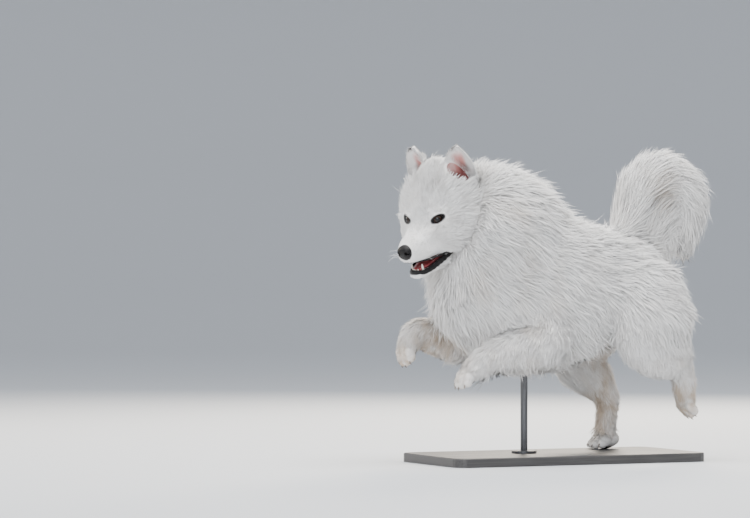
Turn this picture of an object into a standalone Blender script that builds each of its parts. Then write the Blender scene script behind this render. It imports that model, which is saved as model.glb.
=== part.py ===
"""A life-size still model of a running Samoyed, held up by a plain display stand.

Metres. X points forward, Y to the dog's left and Z up. The origin is the centre of the
stand's underside. The dog bounds off its right hind foot, with both forelegs in the air.
"""
import math
import random

import bmesh
import bpy
from mathutils import Matrix, Vector
from mathutils.bvhtree import BVHTree

GAP = 0.0004            # air between nodes that touch
MERGE = 0.0000002       # points this near to each other become one
BASE_LENGTH = 0.62
BASE_WIDTH = 0.30
BASE_HEIGHT = 0.020
BASE_CORNER = 0.030
BASE_EDGE = 0.002
ROD_RADIUS = 0.008
ROD_X = 0.075
ROD_TOP = 0.262         # inside the chest, where its socket ends
FLANGE_RADIUS = 0.028
FLANGE_HEIGHT = 0.006
SOLE = BASE_HEIGHT + GAP

# How far the coat's locks stand out past each core, so about half of the coat's whole depth.
TORSO_COAT = 0.020
NECK_COAT = 0.024
TAIL_COAT = 0.018
THIGH_COAT = 0.014
HEAD_COAT = 0.010
LOCK_CLEAR = 0.0008     # how far a lock keeps from every other node
SPOT_TRIES = 2500
FAULT_TRIES = 4
FAULT_NEAR = 0.003      # a lock this near to a spot where its node touches itself is left out
# What a lock tries until it is clear: its length, lift, width and depth, as shares of its zone's.
LOCK_TRIES = ((1, 1, 1, 1), (1, 1.3, 0.9, 0.6), (0.8, 1.1, 0.85, 0.6), (0.9, 1.7, 0.75, 0.6),
              (0.6, 1.2, 0.8, 0.4))

# The head's own frame: its origin lies midway between the eyes.
HEAD_AT = Vector((0.3407, 0.040, 0.538))
HEAD_TURN = math.radians(27.0)      # to the dog's left
HEAD_NOD = math.radians(24.0)       # nose down

# A body section: centre x, y, z, then half sizes across, up and down, out to the coat's tips.
TORSO = (
    (-0.248, 0.0, 0.390, 0.088, 0.072, 0.090),
    (-0.200, 0.0, 0.395, 0.118, 0.108, 0.125),
    (-0.120, 0.0, 0.395, 0.128, 0.130, 0.140),
    (-0.050, 0.0, 0.395, 0.140, 0.147, 0.182),
    (0.020, 0.0, 0.402, 0.150, 0.170, 0.208),
    (0.090, 0.0, 0.402, 0.152, 0.170, 0.208),
    (0.165, 0.0, 0.395, 0.140, 0.150, 0.178),
    (0.230, 0.0, 0.385, 0.112, 0.115, 0.120),
)
NECK = (
    (0.045, 0.0, 0.474, 0.118, 0.108, 0.110),
    (0.095, 0.0, 0.497, 0.148, 0.136, 0.150),
    (0.150, 0.005, 0.515, 0.157, 0.146, 0.165),
    (0.210, 0.015, 0.538, 0.150, 0.138, 0.165),
    (0.245, 0.022, 0.550, 0.128, 0.118, 0.148),
)
BREAST_AT = Vector((0.215, 0.008, 0.425))
BREAST = (0.088, 0.125, 0.105)
# The plane that parts the neck from the torso, through the withers and the breast.
SEAM_AT = Vector((0.165, 0.0, 0.430))
SEAM_ALONG = Vector((0.62, 0.0, 0.78))

# The head's sections: distance ahead of the eyes, half width, top and bottom heights, fullness.
HEAD = (
    (-0.112, 0.084, 0.094, -0.105, 0.85),
    (-0.088, 0.099, 0.106, -0.118, 0.82),
    (-0.052, 0.101, 0.081, -0.120, 0.80),
    (-0.024, 0.087, 0.050, -0.105, 0.80),
    (0.000, 0.064, 0.021, -0.088, 0.78),
    (0.020, 0.046, -0.003, -0.081, 0.70),
    (0.045, 0.036, -0.013, -0.0765, 0.62),
    (0.070, 0.030, -0.018, -0.0725, 0.66),
    (0.086, 0.025, -0.024, -0.068, 0.80),
)
# The jaw's sections, in the head's frame.
JAW = (
    (-0.045, 0.0, -0.095, 0.036, 0.010, 0.022),
    (-0.010, 0.0, -0.094, 0.037, 0.012, 0.019),
    (0.025, 0.0, -0.098, 0.031, 0.009, 0.014),
    (0.055, 0.0, -0.101, 0.023, 0.008, 0.012),
    (0.074, 0.0, -0.101, 0.016, 0.008, 0.009),
)
TONGUE = (
    (-0.015, 0.0, -0.086, 0.022, 0.003, 0.006),
    (0.020, 0.0, -0.0875, 0.022, 0.0035, 0.006),
    (0.048, 0.0, -0.090, 0.018, 0.004, 0.006),
    (0.066, 0.0, -0.0905, 0.012, 0.003, 0.006),
)
UPPER_LIP = ((-0.014, 0.0465, -0.0775), (0.023, 0.0400, -0.0755), (0.060, 0.0295, -0.0705),
             (0.079, 0.0155, -0.0675), (0.0865, 0.0, -0.0655))
LOWER_LIP = ((-0.016, 0.043, -0.0825), (0.012, 0.0345, -0.0920), (0.042, 0.0270, -0.0970),
             (0.070, 0.0160, -0.0955), (0.082, 0.0, -0.0900))
LIP_RADIUS = 0.0028

EYE_OPENING = Vector((0.0035, 0.0410, 0.0005))     # the left eye's, in the head's frame
EYE_OUT = Vector((0.74, 0.60, 0.30)).normalized()
EYE_RADIUS = 0.0155
EYE_DEEP = 0.0122
LID_THICK = 0.0030
EYE_LENGTH = 0.0285
EYE_HEIGHT = 0.0140
EYE_SLANT = math.radians(13.0)

EAR_HEIGHT = 0.088
EAR_HALF = 0.040
EAR_THICK = 0.009
EAR_BOW = 0.021
EAR_AT = Vector((-0.099, 0.053, 0.044))
EAR_LEAN = math.radians(4.0)
EAR_TOE_OUT = math.radians(14.0)

# Leg sections, from the body to the foot: centre, then half sizes across, ahead and behind.
LEFT_FORELEG = (
    (0.125, 0.080, 0.370, 0.040, 0.060, 0.060),
    (0.085, 0.092, 0.320, 0.045, 0.055, 0.055),
    (0.088, 0.112, 0.276, 0.045, 0.046, 0.056),
    (0.155, 0.116, 0.256, 0.034, 0.038, 0.046),
    (0.222, 0.112, 0.234, 0.028, 0.028, 0.031),
    (0.252, 0.108, 0.210, 0.029, 0.025, 0.026),
)
RIGHT_FORELEG = (
    (0.150, -0.090, 0.360, 0.050, 0.065, 0.065),
    (0.142, -0.100, 0.305, 0.045, 0.050, 0.055),
    (0.190, -0.100, 0.281, 0.038, 0.038, 0.054),
    (0.245, -0.092, 0.286, 0.031, 0.032, 0.048),
    (0.297, -0.084, 0.290, 0.028, 0.026, 0.032),
    (0.318, -0.077, 0.268, 0.028, 0.022, 0.026),
)
LEFT_HINDLEG = (
    (-0.150, 0.104, 0.300, 0.050, 0.060, 0.060),
    (-0.185, 0.106, 0.256, 0.047, 0.060, 0.060),
    (-0.228, 0.101, 0.232, 0.040, 0.050, 0.046),
    (-0.266, 0.092, 0.212, 0.030, 0.034, 0.030),
    (-0.282, 0.084, 0.180, 0.024, 0.024, 0.024),
    (-0.290, 0.076, 0.148, 0.024, 0.022, 0.023),
)
LEFT_THIGH = (
    (-0.190, 0.070, 0.410, 0.068, 0.080, 0.090),
    (-0.185, 0.090, 0.345, 0.074, 0.098, 0.110),
    (-0.192, 0.103, 0.285, 0.062, 0.092, 0.113),
    (-0.215, 0.104, 0.240, 0.044, 0.070, 0.086),
)
RIGHT_HINDLEG = (
    (-0.200, -0.075, 0.390, 0.065, 0.090, 0.090),
    (-0.150, -0.095, 0.310, 0.062, 0.090, 0.085),
    (-0.110, -0.102, 0.230, 0.050, 0.062, 0.058),
    (-0.152, -0.099, 0.180, 0.038, 0.046, 0.044),
    (-0.183, -0.093, 0.140, 0.028, 0.026, 0.027),
    (-0.182, -0.091, 0.095, 0.023, 0.022, 0.023),
    (-0.176, -0.090, 0.058, 0.024, 0.021, 0.023),
)
# Each paw: the wrist end, the way its toes point and the way its back faces, then its size.
PAWS = {
    "foreleg_left": (Vector((0.256, 0.108, 0.206)), Vector((0.74, -0.08, -0.67)), Vector((0.66, 0, 0.75)), 1.0),
    "foreleg_right": (Vector((0.321, -0.076, 0.262)), Vector((0.30, 0.04, -0.95)), Vector((0.95, 0, 0.30)), 1.0),
    "hindleg_left": (Vector((-0.293, 0.074, 0.142)), Vector((-0.24, -0.08, -0.97)), Vector((0.97, 0, -0.2)), 1.0),
    "hindleg_right": (Vector((-0.188, -0.090, 0.041)), Vector((1.0, 0.0, -0.10)), Vector((0, 0, 1)), 1.0),
}
# Each toe: its distance from the paw's middle line, its distance ahead and its turn in degrees.
TOES = ((-0.0225, 0.022, -14), (-0.0078, 0.030, -4), (0.0078, 0.030, 4), (0.0225, 0.022, 14))
TAIL = (
    (-0.160, 0.0, 0.470, 0.048, 0.040, 0.046),
    (-0.192, 0.0, 0.545, 0.056, 0.042, 0.044),
    (-0.220, 0.0, 0.602, 0.066, 0.046, 0.056),
    (-0.264, 0.0, 0.627, 0.072, 0.050, 0.068),
    (-0.310, 0.0, 0.598, 0.072, 0.046, 0.074),
    (-0.330, 0.0, 0.540, 0.056, 0.042, 0.056),
    (-0.328, 0.0, 0.480, 0.030, 0.026, 0.030),
)
TAIL_HEART = (Vector((-0.250, 0.0, 0.530)), (0.085, 0.048, 0.095))


def clear_scene():
    for old in list(bpy.data.objects):
        bpy.data.objects.remove(old)


def material(name, colour, roughness, metallic=0.0):
    made = bpy.data.materials.new(name)
    made.use_nodes = True
    shader = made.node_tree.nodes["Principled BSDF"]
    shader.inputs["Base Color"].default_value = (*colour, 1.0)
    shader.inputs["Roughness"].default_value = roughness
    shader.inputs["Metallic"].default_value = metallic
    return made


def put_in_order(shape):
    """Merges points that nearly coincide and sorts points and faces, alike on every run."""
    bmesh.ops.remove_doubles(shape, verts=shape.verts, dist=MERGE)
    places = sorted(shape.verts, key=lambda vert: tuple(round(value, 6) for value in vert.co))
    for index, vert in enumerate(places):
        vert.index = index
    shape.verts.sort()
    shape.verts.index_update()
    corners = sorted(shape.faces, key=lambda face: sorted(vert.index for vert in face.verts))
    for index, face in enumerate(corners):
        face.index = index
    shape.faces.sort()


def object_of(name, shape):
    """A new object from a bmesh, with its faces turned outwards."""
    bmesh.ops.recalc_face_normals(shape, faces=shape.faces)
    put_in_order(shape)
    mesh = bpy.data.meshes.new(name)
    shape.to_mesh(mesh)
    shape.free()
    made = bpy.data.objects.new(name, mesh)
    bpy.context.scene.collection.objects.link(made)
    return made


def skin_rings(name, rings, first_pole=None, last_pole=None):
    """A closed mesh through rings of equal counts, closed by a pole or a flat face at each end."""
    shape = bmesh.new()
    rows = [[shape.verts.new(point) for point in ring] for ring in rings]
    count = len(rows[0])
    for low, high in zip(rows, rows[1:]):
        for side in range(count):
            after = (side + 1) % count
            shape.faces.new((low[side], low[after], high[after]))
            shape.faces.new((low[side], high[after], high[side]))
    for row, pole in ((rows[0], first_pole), (rows[-1], last_pole)):
        if pole is None:
            shape.faces.new(row)
            continue
        tip = shape.verts.new(pole)
        for side in range(count):
            shape.faces.new((row[side], row[(side + 1) % count], tip))
    return object_of(name, shape)


def smooth_rows(rows, steps):
    """Rows of numbers with more rows put between them on Catmull-Rom curves."""
    padded = [rows[0], *rows, rows[-1]]
    made = []
    for index in range(len(rows) - 1):
        before, start, end, after = padded[index:index + 4]
        for step in range(steps):
            t = step / steps
            made.append([
                0.5 * (2 * b + (c - a) * t + (2 * a - 5 * b + 4 * c - d) * t * t
                       + (3 * b - a - 3 * c + d) * t ** 3)
                for a, b, c, d in zip(before, start, end, after)
            ])
    made.append(list(rows[-1]))
    return made


def section_ring(centre, along, left, half, sides, fullness):
    """One closed ring round a centre. half holds the half sizes across, up and down."""
    side = (left - along * left.dot(along)).normalized()
    top = along.cross(side)
    ring = []
    for step in range(sides):
        angle = 2 * math.pi * step / sides
        across = math.copysign(abs(math.cos(angle)) ** fullness, math.cos(angle))
        rise = math.copysign(abs(math.sin(angle)) ** fullness, math.sin(angle))
        height = half[1] if rise > 0 else half[2]
        ring.append(centre + side * across * half[0] + top * rise * height)
    return ring


def round_end(centre, outward, ring, length, steps=(0.45, 0.8)):
    """Shrinking rings that round a loft's end off."""
    return [
        [centre + (point - centre) * math.sqrt(1 - far * far) + outward * length * far for point in ring]
        for far in steps
    ]


def loft(name, sections, steps, sides, caps, grow=0.0, fullness=1.0, left=(0, 1, 0), straight=None):
    """A closed limb through body sections. caps are the lengths of its round ends, and grow thickens it.

    straight is the direction that every section faces, where they don't follow the limb's bends.
    """
    rows = smooth_rows(sections, steps)
    points = [Vector(row[:3]) for row in rows]
    rings = []
    alongs = []
    for index, row in enumerate(rows):
        ahead = points[min(index + 1, len(points) - 1)]
        behind = points[max(index - 1, 0)]
        along = Vector(straight or ahead - behind).normalized()
        alongs.append(along)
        half = [size + grow for size in row[3:6]]
        full = row[6] if len(row) > 6 else fullness
        rings.append(section_ring(points[index], along, Vector(left), half, sides, full))
    first = round_end(points[0], -alongs[0], rings[0], caps[0] + grow)
    last = round_end(points[-1], alongs[-1], rings[-1], caps[1] + grow)
    rings = first[::-1] + rings + last
    first_pole = points[0] - alongs[0] * (caps[0] + grow)
    last_pole = points[-1] + alongs[-1] * (caps[1] + grow)
    return skin_rings(name, rings, first_pole, last_pole)


def tube(name, points, radius, sides=4):
    """A thin closed tube along points, tapered at both of its ends."""
    sections = []
    for index, point in enumerate(points):
        size = radius * (0.6 if index in (0, len(points) - 1) else 1.0)
        sections.append((*point, size, size, size))
    return loft(name, sections, 1, sides, (radius * 0.4, radius * 0.4), left=(0, 0, 1))


def spike(name, points, radius, sides=4):
    """A short closed spike through three points, thickest at the first."""
    rings = []
    for point, ahead, size in zip(points, (points[1] - points[0], points[2] - points[0]), (1.0, 0.75)):
        rings.append(section_ring(point, ahead.normalized(), Vector((0.1, 1, 0.2)), (radius * size,) * 3, sides, 1.0))
    return skin_rings(name, rings, None, points[2])


def head_matrix():
    """Head frame to body frame: its X points to the nose, Y to the head's left and Z up."""
    turn = Matrix.Rotation(HEAD_TURN, 4, "Z") @ Matrix.Rotation(HEAD_NOD, 4, "Y")
    return Matrix.Translation(HEAD_AT) @ turn


def place(made, matrix):
    made.data.transform(matrix)
    if matrix.determinant() < 0:
        made.data.flip_normals()
    return made


def aim_matrix(at, forward, up):
    """A frame at a point: X along forward, Z as near to up as that allows."""
    ahead = forward.normalized()
    left = up.cross(ahead).normalized()
    above = ahead.cross(left)
    turn = Matrix((ahead, left, above)).transposed().to_4x4()
    return Matrix.Translation(at) @ turn


def largest_surface(mesh):
    """Keeps only a mesh's largest closed surface."""
    shape = bmesh.new()
    shape.from_mesh(mesh)
    left = set(shape.verts)
    groups = []
    while left:
        seed = left.pop()
        group = [seed]
        for vert in group:
            for edge in vert.link_edges:
                other = edge.other_vert(vert)
                if other in left:
                    left.remove(other)
                    group.append(other)
        groups.append(group)
    groups.sort(key=len)
    scraps = [vert for group in groups[:-1] for vert in group]
    bmesh.ops.delete(shape, geom=scraps, context="VERTS")
    put_in_order(shape)
    shape.to_mesh(mesh)
    shape.free()


def carve(made, others, operation="DIFFERENCE"):
    """Cuts other shapes from an object, or joins them to it, and removes them."""
    group = bpy.data.collections.new("pieces")
    bpy.context.scene.collection.children.link(group)
    for other in others:
        group.objects.link(other)
    boolean = made.modifiers.new("boolean", "BOOLEAN")
    boolean.operation = operation
    boolean.operand_type = "COLLECTION"
    boolean.collection = group
    boolean.solver = "MANIFOLD"
    graph = bpy.context.evaluated_depsgraph_get()
    mesh = bpy.data.meshes.new_from_object(made.evaluated_get(graph))
    made.modifiers.clear()
    largest_surface(mesh)
    made.data = mesh
    for other in others:
        bpy.data.objects.remove(other)
    bpy.data.collections.remove(group)
    return made


def join(made, others):
    return carve(made, others, "UNION")


def box(name, low, high):
    shape = bmesh.new()
    bmesh.ops.create_cube(shape, size=1.0)
    size = Matrix.Diagonal((*[b - a for a, b in zip(low, high)], 1.0))
    middle = Matrix.Translation([(a + b) / 2 for a, b in zip(low, high)])
    bmesh.ops.transform(shape, matrix=middle @ size, verts=shape.verts)
    return object_of(name, shape)


def ball(name, centre, radii, grow=0.0, around=10, up=6):
    shape = bmesh.new()
    bmesh.ops.create_uvsphere(shape, u_segments=around, v_segments=up, radius=1.0)
    size = Matrix.Diagonal((*[radius + grow for radius in radii], 1.0))
    bmesh.ops.transform(shape, matrix=Matrix.Translation(centre) @ size, verts=shape.verts)
    return object_of(name, shape)


# The body, with the neck and the torso parted by a slanting plane.


def body_lofts(grow):
    """The torso, the neck and the breast, without the outer half of the coat."""
    thin = grow - TORSO_COAT
    return [loft("torso", TORSO, 1, 18, (0.045, 0.070), thin, 0.92, straight=(1, 0, 0)),
            loft("neck", NECK, 1, 18, (0.050, 0.030), grow - NECK_COAT, 0.95),
            ball("breast", BREAST_AT, BREAST, grow - NECK_COAT, 14, 9)]


def seam_block(side):
    """A block that fills one side of the seam, and half of the gap."""
    along = SEAM_ALONG.normalized()
    frame = aim_matrix(SEAM_AT, along, Vector((0, 1, 0)))
    edge = -GAP / 2 * side
    block = box("half", (min(edge, side * 0.8), -0.8, -0.8), (max(edge, side * 0.8), 0.8, 0.8))
    return place(block, frame)


def make_body():
    torso, *others = body_lofts(0.0)
    join(torso, others)
    neck = torso.copy()
    neck.data = torso.data.copy()
    neck.name = "neck"
    bpy.context.scene.collection.objects.link(neck)
    carve(torso, [seam_block(1)])
    carve(neck, [seam_block(-1)])
    carve(neck, [head_flesh(GAP), lip("lip", UPPER_LIP, GAP)])
    socket = turned("socket", ((ROD_RADIUS + GAP, 0.10), (ROD_RADIUS + GAP, ROD_TOP + GAP)), (ROD_X, 0.0), 20)
    carve(torso, [socket])
    return torso, neck


# The head and what it carries.


def head_flesh(grow, name="head"):
    sections = []
    for ahead, half, top, bottom, full in HEAD:
        middle = bottom + (top - bottom) * 0.45
        coat = HEAD_COAT * min(max(-ahead / 0.04, 0.0), 1.0)
        sections.append((ahead, 0.0, middle, half - coat, top - middle - coat * 0.5,
                         middle - bottom - coat, full))
    return place(loft(name, sections, 2, 18, (0.030, 0.010), grow, straight=(1, 0, 0)), head_matrix())


def mirrored(point, side):
    return Vector((point[0], point[1] * side, point[2]))


def eye_ball(name, side, grow=0.0, around=12, up=7):
    centre = mirrored(EYE_OPENING - EYE_OUT * EYE_DEEP, side)
    return place(ball(name, centre, (EYE_RADIUS,) * 3, grow, around, up), head_matrix())


def eye_opening(side):
    """The almond between the lids, as a long prism that points out of the eye."""
    outline = []
    for step in range(10):
        angle = 2 * math.pi * step / 10
        across = math.cos(angle)
        height = math.copysign(abs(math.sin(angle)) ** 1.25, math.sin(angle))
        outline.append((across * EYE_LENGTH / 2, height * EYE_HEIGHT / 2 + 0.0008 * across))
    frame = aim_matrix(mirrored(EYE_OPENING, side), mirrored(EYE_OUT, side), Vector((0, 0, 1)))
    frame = frame @ Matrix.Rotation(EYE_SLANT * side, 4, "X")
    rings = [[Vector((ahead, x, z)) for x, z in outline] for ahead in (-EYE_DEEP * 0.6, 0.03)]
    return place(skin_rings("opening", rings), head_matrix() @ frame)


def lip(name, points, grow=0.0):
    whole = [Vector(point) for point in points]
    whole += [mirrored(point, -1) for point in points[-2::-1]]
    return place(tube(name, whole, LIP_RADIUS + grow), head_matrix())


def make_head():
    head = head_flesh(0.0)
    lids = [eye_ball("lid", side, LID_THICK, 10, 6) for side in (1, -1)]
    join(head, lids + [lip("upper_lip", UPPER_LIP)])
    mouth = place(loft("mouth", (
        (-0.034, 0.0, -0.086, 0.034, 0.006, 0.008),
        (-0.006, 0.0, -0.085, 0.036, 0.012, 0.014),
        (0.020, 0.0, -0.081, 0.031, 0.012, 0.014),
        (0.050, 0.0, -0.077, 0.022, 0.012, 0.014),
        (0.075, 0.0, -0.073, 0.011, 0.008, 0.014),
    ), 1, 10, (0.006, 0.002)), head_matrix())
    carve(head, [eye_opening(1), eye_opening(-1), mouth])
    carve(head, [eye_ball("socket", side, GAP) for side in (1, -1)])
    carve(head, [nose_pad("socket", GAP)])
    return head


def jaw_flesh(name, grow):
    return place(loft(name, JAW, 1, 12, (0.010, 0.009), grow, 0.88), head_matrix())


def make_jaw():
    jaw = jaw_flesh("jaw", 0.0)
    join(jaw, [lip("lower_lip", LOWER_LIP)])
    trough = place(loft("trough", TONGUE, 1, 8, (0.006, 0.005), GAP), head_matrix())
    carve(jaw, [trough])
    return jaw


def nose_pad(name, grow=0.0):
    sections = (
        (0.070, 0.0, -0.038, 0.012, 0.010, 0.012),
        (0.080, 0.0, -0.0395, 0.0165, 0.0145, 0.0145),
        (0.091, 0.0, -0.0405, 0.0185, 0.0155, 0.0155),
        (0.098, 0.0, -0.0415, 0.0155, 0.0130, 0.0140),
    )
    return place(loft(name, sections, 1, 12, (0.004, 0.0035), grow, 0.9), head_matrix())


def make_nose():
    nose = nose_pad("nose")
    holes = []
    for side in (1, -1):
        hole = ball("nostril", mirrored((0.1000, 0.0090, -0.0395), side), (0.0070, 0.0032, 0.0038), 0, 6, 4)
        slit = ball("slit", mirrored((0.0970, 0.0145, -0.0415), side), (0.0065, 0.0055, 0.0016), 0, 6, 4)
        holes.append(place(hole, head_matrix()))
        holes.append(place(slit, head_matrix()))
    groove = place(box("groove", (0.0985, -0.0008, -0.060), (0.110, 0.0008, -0.044)), head_matrix())
    carve(nose, holes)
    carve(nose, [groove])
    return nose


def make_teeth(name="teeth", grow=0.0):
    """The lower front teeth, a low curved row with a longer canine at each end."""
    points = ((0.056, 0.0150, -0.0925), (0.068, 0.0110, -0.0915), (0.0745, 0.0, -0.0905),
              (0.068, -0.0110, -0.0915), (0.056, -0.0150, -0.0925))
    row = tube(name, [Vector(point) for point in points], 0.0026 + grow, 5)
    fangs = [spike("fang", [mirrored(point, side) for point in
                            ((0.062, 0.0132, -0.0950), (0.0635, 0.0138, -0.0870), (0.0625, 0.0142, -0.0795))],
                   0.0030 + grow) for side in (1, -1)]
    join(row, fangs)
    return place(row, head_matrix())


def make_ear(name, side, grow=0.0):
    """One upright ear, a cupped shell that stands on the skull and opens forwards."""
    rows, columns = 7, 6
    shape = bmesh.new()
    layers = []
    for layer in (-0.5, 0.5):
        grid = []
        for row in range(rows):
            up = math.sin(row / (rows - 1) * math.pi / 2) * 0.985
            width = EAR_HALF * (1 - up ** 2.2) ** 0.68
            line = []
            for column in range(columns + 1):
                across = 2 * column / columns - 1
                rim = 1 - 0.7 * max(abs(across), up) ** 3
                depth = EAR_BOW * (across * across - 0.75) * (1 - 0.5 * up) + 0.006 * up
                depth += layer * (EAR_THICK * rim + 2 * grow)
                line.append(shape.verts.new((depth, across * (width + grow), up * (EAR_HEIGHT + grow))))
            grid.append(line)
        layers.append(grid)
    for grid in layers:
        for row in range(rows - 1):
            for column in range(columns):
                shape.faces.new((grid[row][column], grid[row][column + 1],
                                 grid[row + 1][column + 1], grid[row + 1][column]))
    border = [(0, column) for column in range(columns)] + [(row, columns) for row in range(rows - 1)]
    border += [(rows - 1, column) for column in range(columns, 0, -1)]
    border += [(row, 0) for row in range(rows - 1, 0, -1)]
    back, front = layers
    for here, there in zip(border, border[1:] + border[:1]):
        shape.faces.new((back[here[0]][here[1]], back[there[0]][there[1]],
                         front[there[0]][there[1]], front[here[0]][here[1]]))
    made = object_of(name, shape)
    stance = Matrix.Translation(mirrored(EAR_AT, side))
    toe_out = Matrix.Rotation(EAR_TOE_OUT * side, 4, "Z")
    lean = Matrix.Rotation(-EAR_LEAN * side, 4, "X")
    return place(made, head_matrix() @ stance @ toe_out @ lean)


# The legs and their paws.


def paw(at, forward, up, size):
    """The paw's palm, toes, claws and pads, as closed shapes to join to a leg."""
    frame = aim_matrix(at, forward, up) @ Matrix.Scale(size, 4)
    pieces = [ball("palm", (0.006, 0.0, 0.001), (0.028, 0.027, 0.020), 0, 8, 5)]
    pieces.append(ball("pad", (0.014, 0.0, -0.013), (0.017, 0.017, 0.009), 0, 6, 4))
    for across, ahead, spread in TOES:
        turn = Matrix.Translation((ahead, across, 0.0)) @ Matrix.Rotation(math.radians(spread), 4, "Z")
        pieces.append(place(ball("toe", (0.0, 0.0, 0.001), (0.0205, 0.0100, 0.0135), 0, 6, 4), turn))
        claw = [Vector(point) for point in ((0.013, 0, 0.003), (0.0195, 0, 0.0015), (0.0235, 0, -0.0025))]
        pieces.append(place(spike("claw", claw, 0.0030), turn))
    return [place(piece, frame) for piece in pieces]


def make_leg(name, sections, caps, more=(), standing=False):
    leg = loft(name, sections, 2, 12, caps)
    join(leg, [*more, *paw(*PAWS[name])])
    carve(leg, body_lofts(GAP))
    if standing:
        carve(leg, [box("floor", (-0.4, -0.4, -0.1), (0.4, 0.4, SOLE))])
    return leg


def make_tail():
    tail = loft("tail", TAIL, 1, 12, (0.02, 0.035), -TAIL_COAT)
    join(tail, [ball("heart", *TAIL_HEART, -TAIL_COAT, 10, 7)])
    carve(tail, body_lofts(GAP))
    return tail


# The coat's locks.


def tree_of(nodes):
    """One search tree for the surfaces of several nodes."""
    points = []
    faces = []
    for node in nodes:
        start = len(points)
        points += [vert.co.copy() for vert in node.data.vertices]
        faces += [[start + index for index in face.vertices] for face in node.data.polygons]
    return BVHTree.FromPolygons(points, faces)


def lock_line(surface, root, lie, length, lift, sink, hug, steps=3):
    """A lock's middle line: it sets off inside the core, follows the coat's lie and lifts to its tip."""
    spot, normal = surface.find_nearest(root)[:2]
    line = []
    for index in range(steps + 1):
        far = index / steps
        height = lift * far ** 1.15 - sink * (1 - far) ** 4
        line.append((spot + normal * height, normal.copy()))
        heading = lie(spot, normal, far)
        heading = (heading - normal * heading.dot(normal) * hug).normalized()
        ahead = spot + heading * length / steps
        near, near_normal = surface.find_nearest(ahead)[:2]
        spot = ahead.lerp(near, hug)
        normal = normal.lerp(near_normal, 0.35 + 0.5 * hug).normalized()
    return line


def lock_mesh(line, width, thick, swell=0.0):
    """A lock's points and faces: a flat back, a ridge and one tip. swell thickens it for a test."""
    points = []
    last = len(line) - 1
    for index in range(last):
        spot, normal = line[index]
        heading = (line[index + 1][0] - spot).normalized()
        side = heading.cross(normal).normalized()
        half = width / 2 * (0.50, 1.0, 0.80)[index] + swell
        ridge = thick * (0.9, 1.0, 0.75)[index] + swell
        low = spot - normal * swell
        points += [low - side * half, low + side * half, spot + normal * ridge]
    tip = len(points)
    heading = (line[last][0] - line[last - 1][0]).normalized()
    points.append(line[last][0] + heading * swell)
    faces = [(0, 1, 2)]
    for ring in range(0, tip, 3):
        for side in range(3):
            here, there = ring + side, ring + (side + 1) % 3
            if ring + 3 < tip:
                faces.append((here, there, there + 3))
                faces.append((here, there + 3, here + 3))
            else:
                faces.append((here, there, tip))
    return points, faces


def too_close(spot, along, zone, roots):
    """Whether a root lies too close to a grown one. Locks stand closer across their lie than along it."""
    for taken in roots:
        apart = spot - taken
        ahead = apart.dot(along)
        aside = math.sqrt(max(apart.length_squared - ahead * ahead, 0.0))
        if math.hypot(ahead / (zone["length"] * zone["apart"]), aside / (zone["width"] * 0.85)) < 1:
            return True
    return False


def fit_lock(bed, own, others, standing, root, zone, draws):
    """The points, faces and tree of one lock that clears all that stands near it, or None."""
    length = zone["length"] * (1 + 0.15 * draws[0])
    width = zone["width"] * (1 + 0.15 * draws[1])

    def lie(spot, normal, far):
        bent = Matrix.Rotation(math.radians(9 * draws[2] + 22 * draws[3] * far), 3, normal)
        return (bent @ zone["lie"](spot, normal)).normalized()

    near = [tree for middle, tree in standing if (middle - root).length < 0.20]
    for shorter, higher, narrower, depth in LOCK_TRIES:
        line = lock_line(bed, root, lie, length * shorter, zone["lift"] * higher,
                         zone["sink"] * depth, zone["hug"])
        trial = BVHTree.FromPolygons(*lock_mesh(line, width * narrower, zone["thick"], LOCK_CLEAR))
        if trial.overlap(others) or any(trial.overlap(tree) for tree in near):
            continue
        points, faces = lock_mesh(line, width * narrower, zone["thick"])
        tree = BVHTree.FromPolygons(points, faces)
        if tree.overlap(own):
            return points, faces, tree
    return None


def lock_object(points, faces):
    shape = bmesh.new()
    made = [shape.verts.new(point) for point in points]
    for face in faces:
        shape.faces.new([made[index] for index in face])
    return object_of("lock", shape)


def fault_spots(mesh):
    """Where a mesh touches itself along an edge."""
    shape = bmesh.new()
    shape.from_mesh(mesh)
    bmesh.ops.triangulate(shape, faces=shape.faces)
    spots = [vert.co.copy() for edge in shape.edges if not edge.is_manifold for vert in edge.verts]
    shape.free()
    return spots


def grow_locks(node, zones, nodes, under, standing, dice):
    """Grows a node's locks where they clear all others, and joins them to it at their roots.

    under holds the surfaces that the locks lie along, and standing all the locks grown so far.
    """
    own = tree_of([node])
    others = tree_of([other for other in nodes if other is not node])
    bed = tree_of(under)
    low = [min(vert.co[axis] for vert in node.data.vertices) for axis in range(3)]
    high = [max(vert.co[axis] for vert in node.data.vertices) for axis in range(3)]
    grown = []
    for zone in zones:
        roots = []
        for attempt in range(SPOT_TRIES):
            aim = Vector([dice.uniform(a - 0.02, b + 0.02) for a, b in zip(low, high)])
            draws = [dice.uniform(-1, 1) for _ in range(4)]
            spot, normal = own.find_nearest(aim)[:2]
            if not zone["where"](spot, normal) or others.ray_cast(spot + normal * 0.0005, normal, 0.02)[0]:
                continue
            if too_close(spot, zone["lie"](spot, normal).normalized(), zone, roots):
                continue
            found = fit_lock(bed, own, others, standing, spot, zone, draws)
            if found is None:
                continue
            roots.append(spot)
            grown.append((spot, found))
            standing.append((spot, found[2]))
    core = node.data.copy()
    for attempt in range(FAULT_TRIES):
        node.data = core.copy()
        join(node, [lock_object(points, faces) for spot, (points, faces, tree) in grown])
        faults = fault_spots(node.data)
        if not faults:
            break
        grown = [(spot, lock) for spot, lock in grown
                 if all(lock[2].find_nearest(fault)[3] > FAULT_NEAR for fault in faults)]
    return node


def lie_torso(spot, normal):
    down = 0.5 - 0.5 * normal.z
    return Vector((-1.0 + 0.55 * down, 0.0, -0.10 - 0.85 * down))


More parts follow.
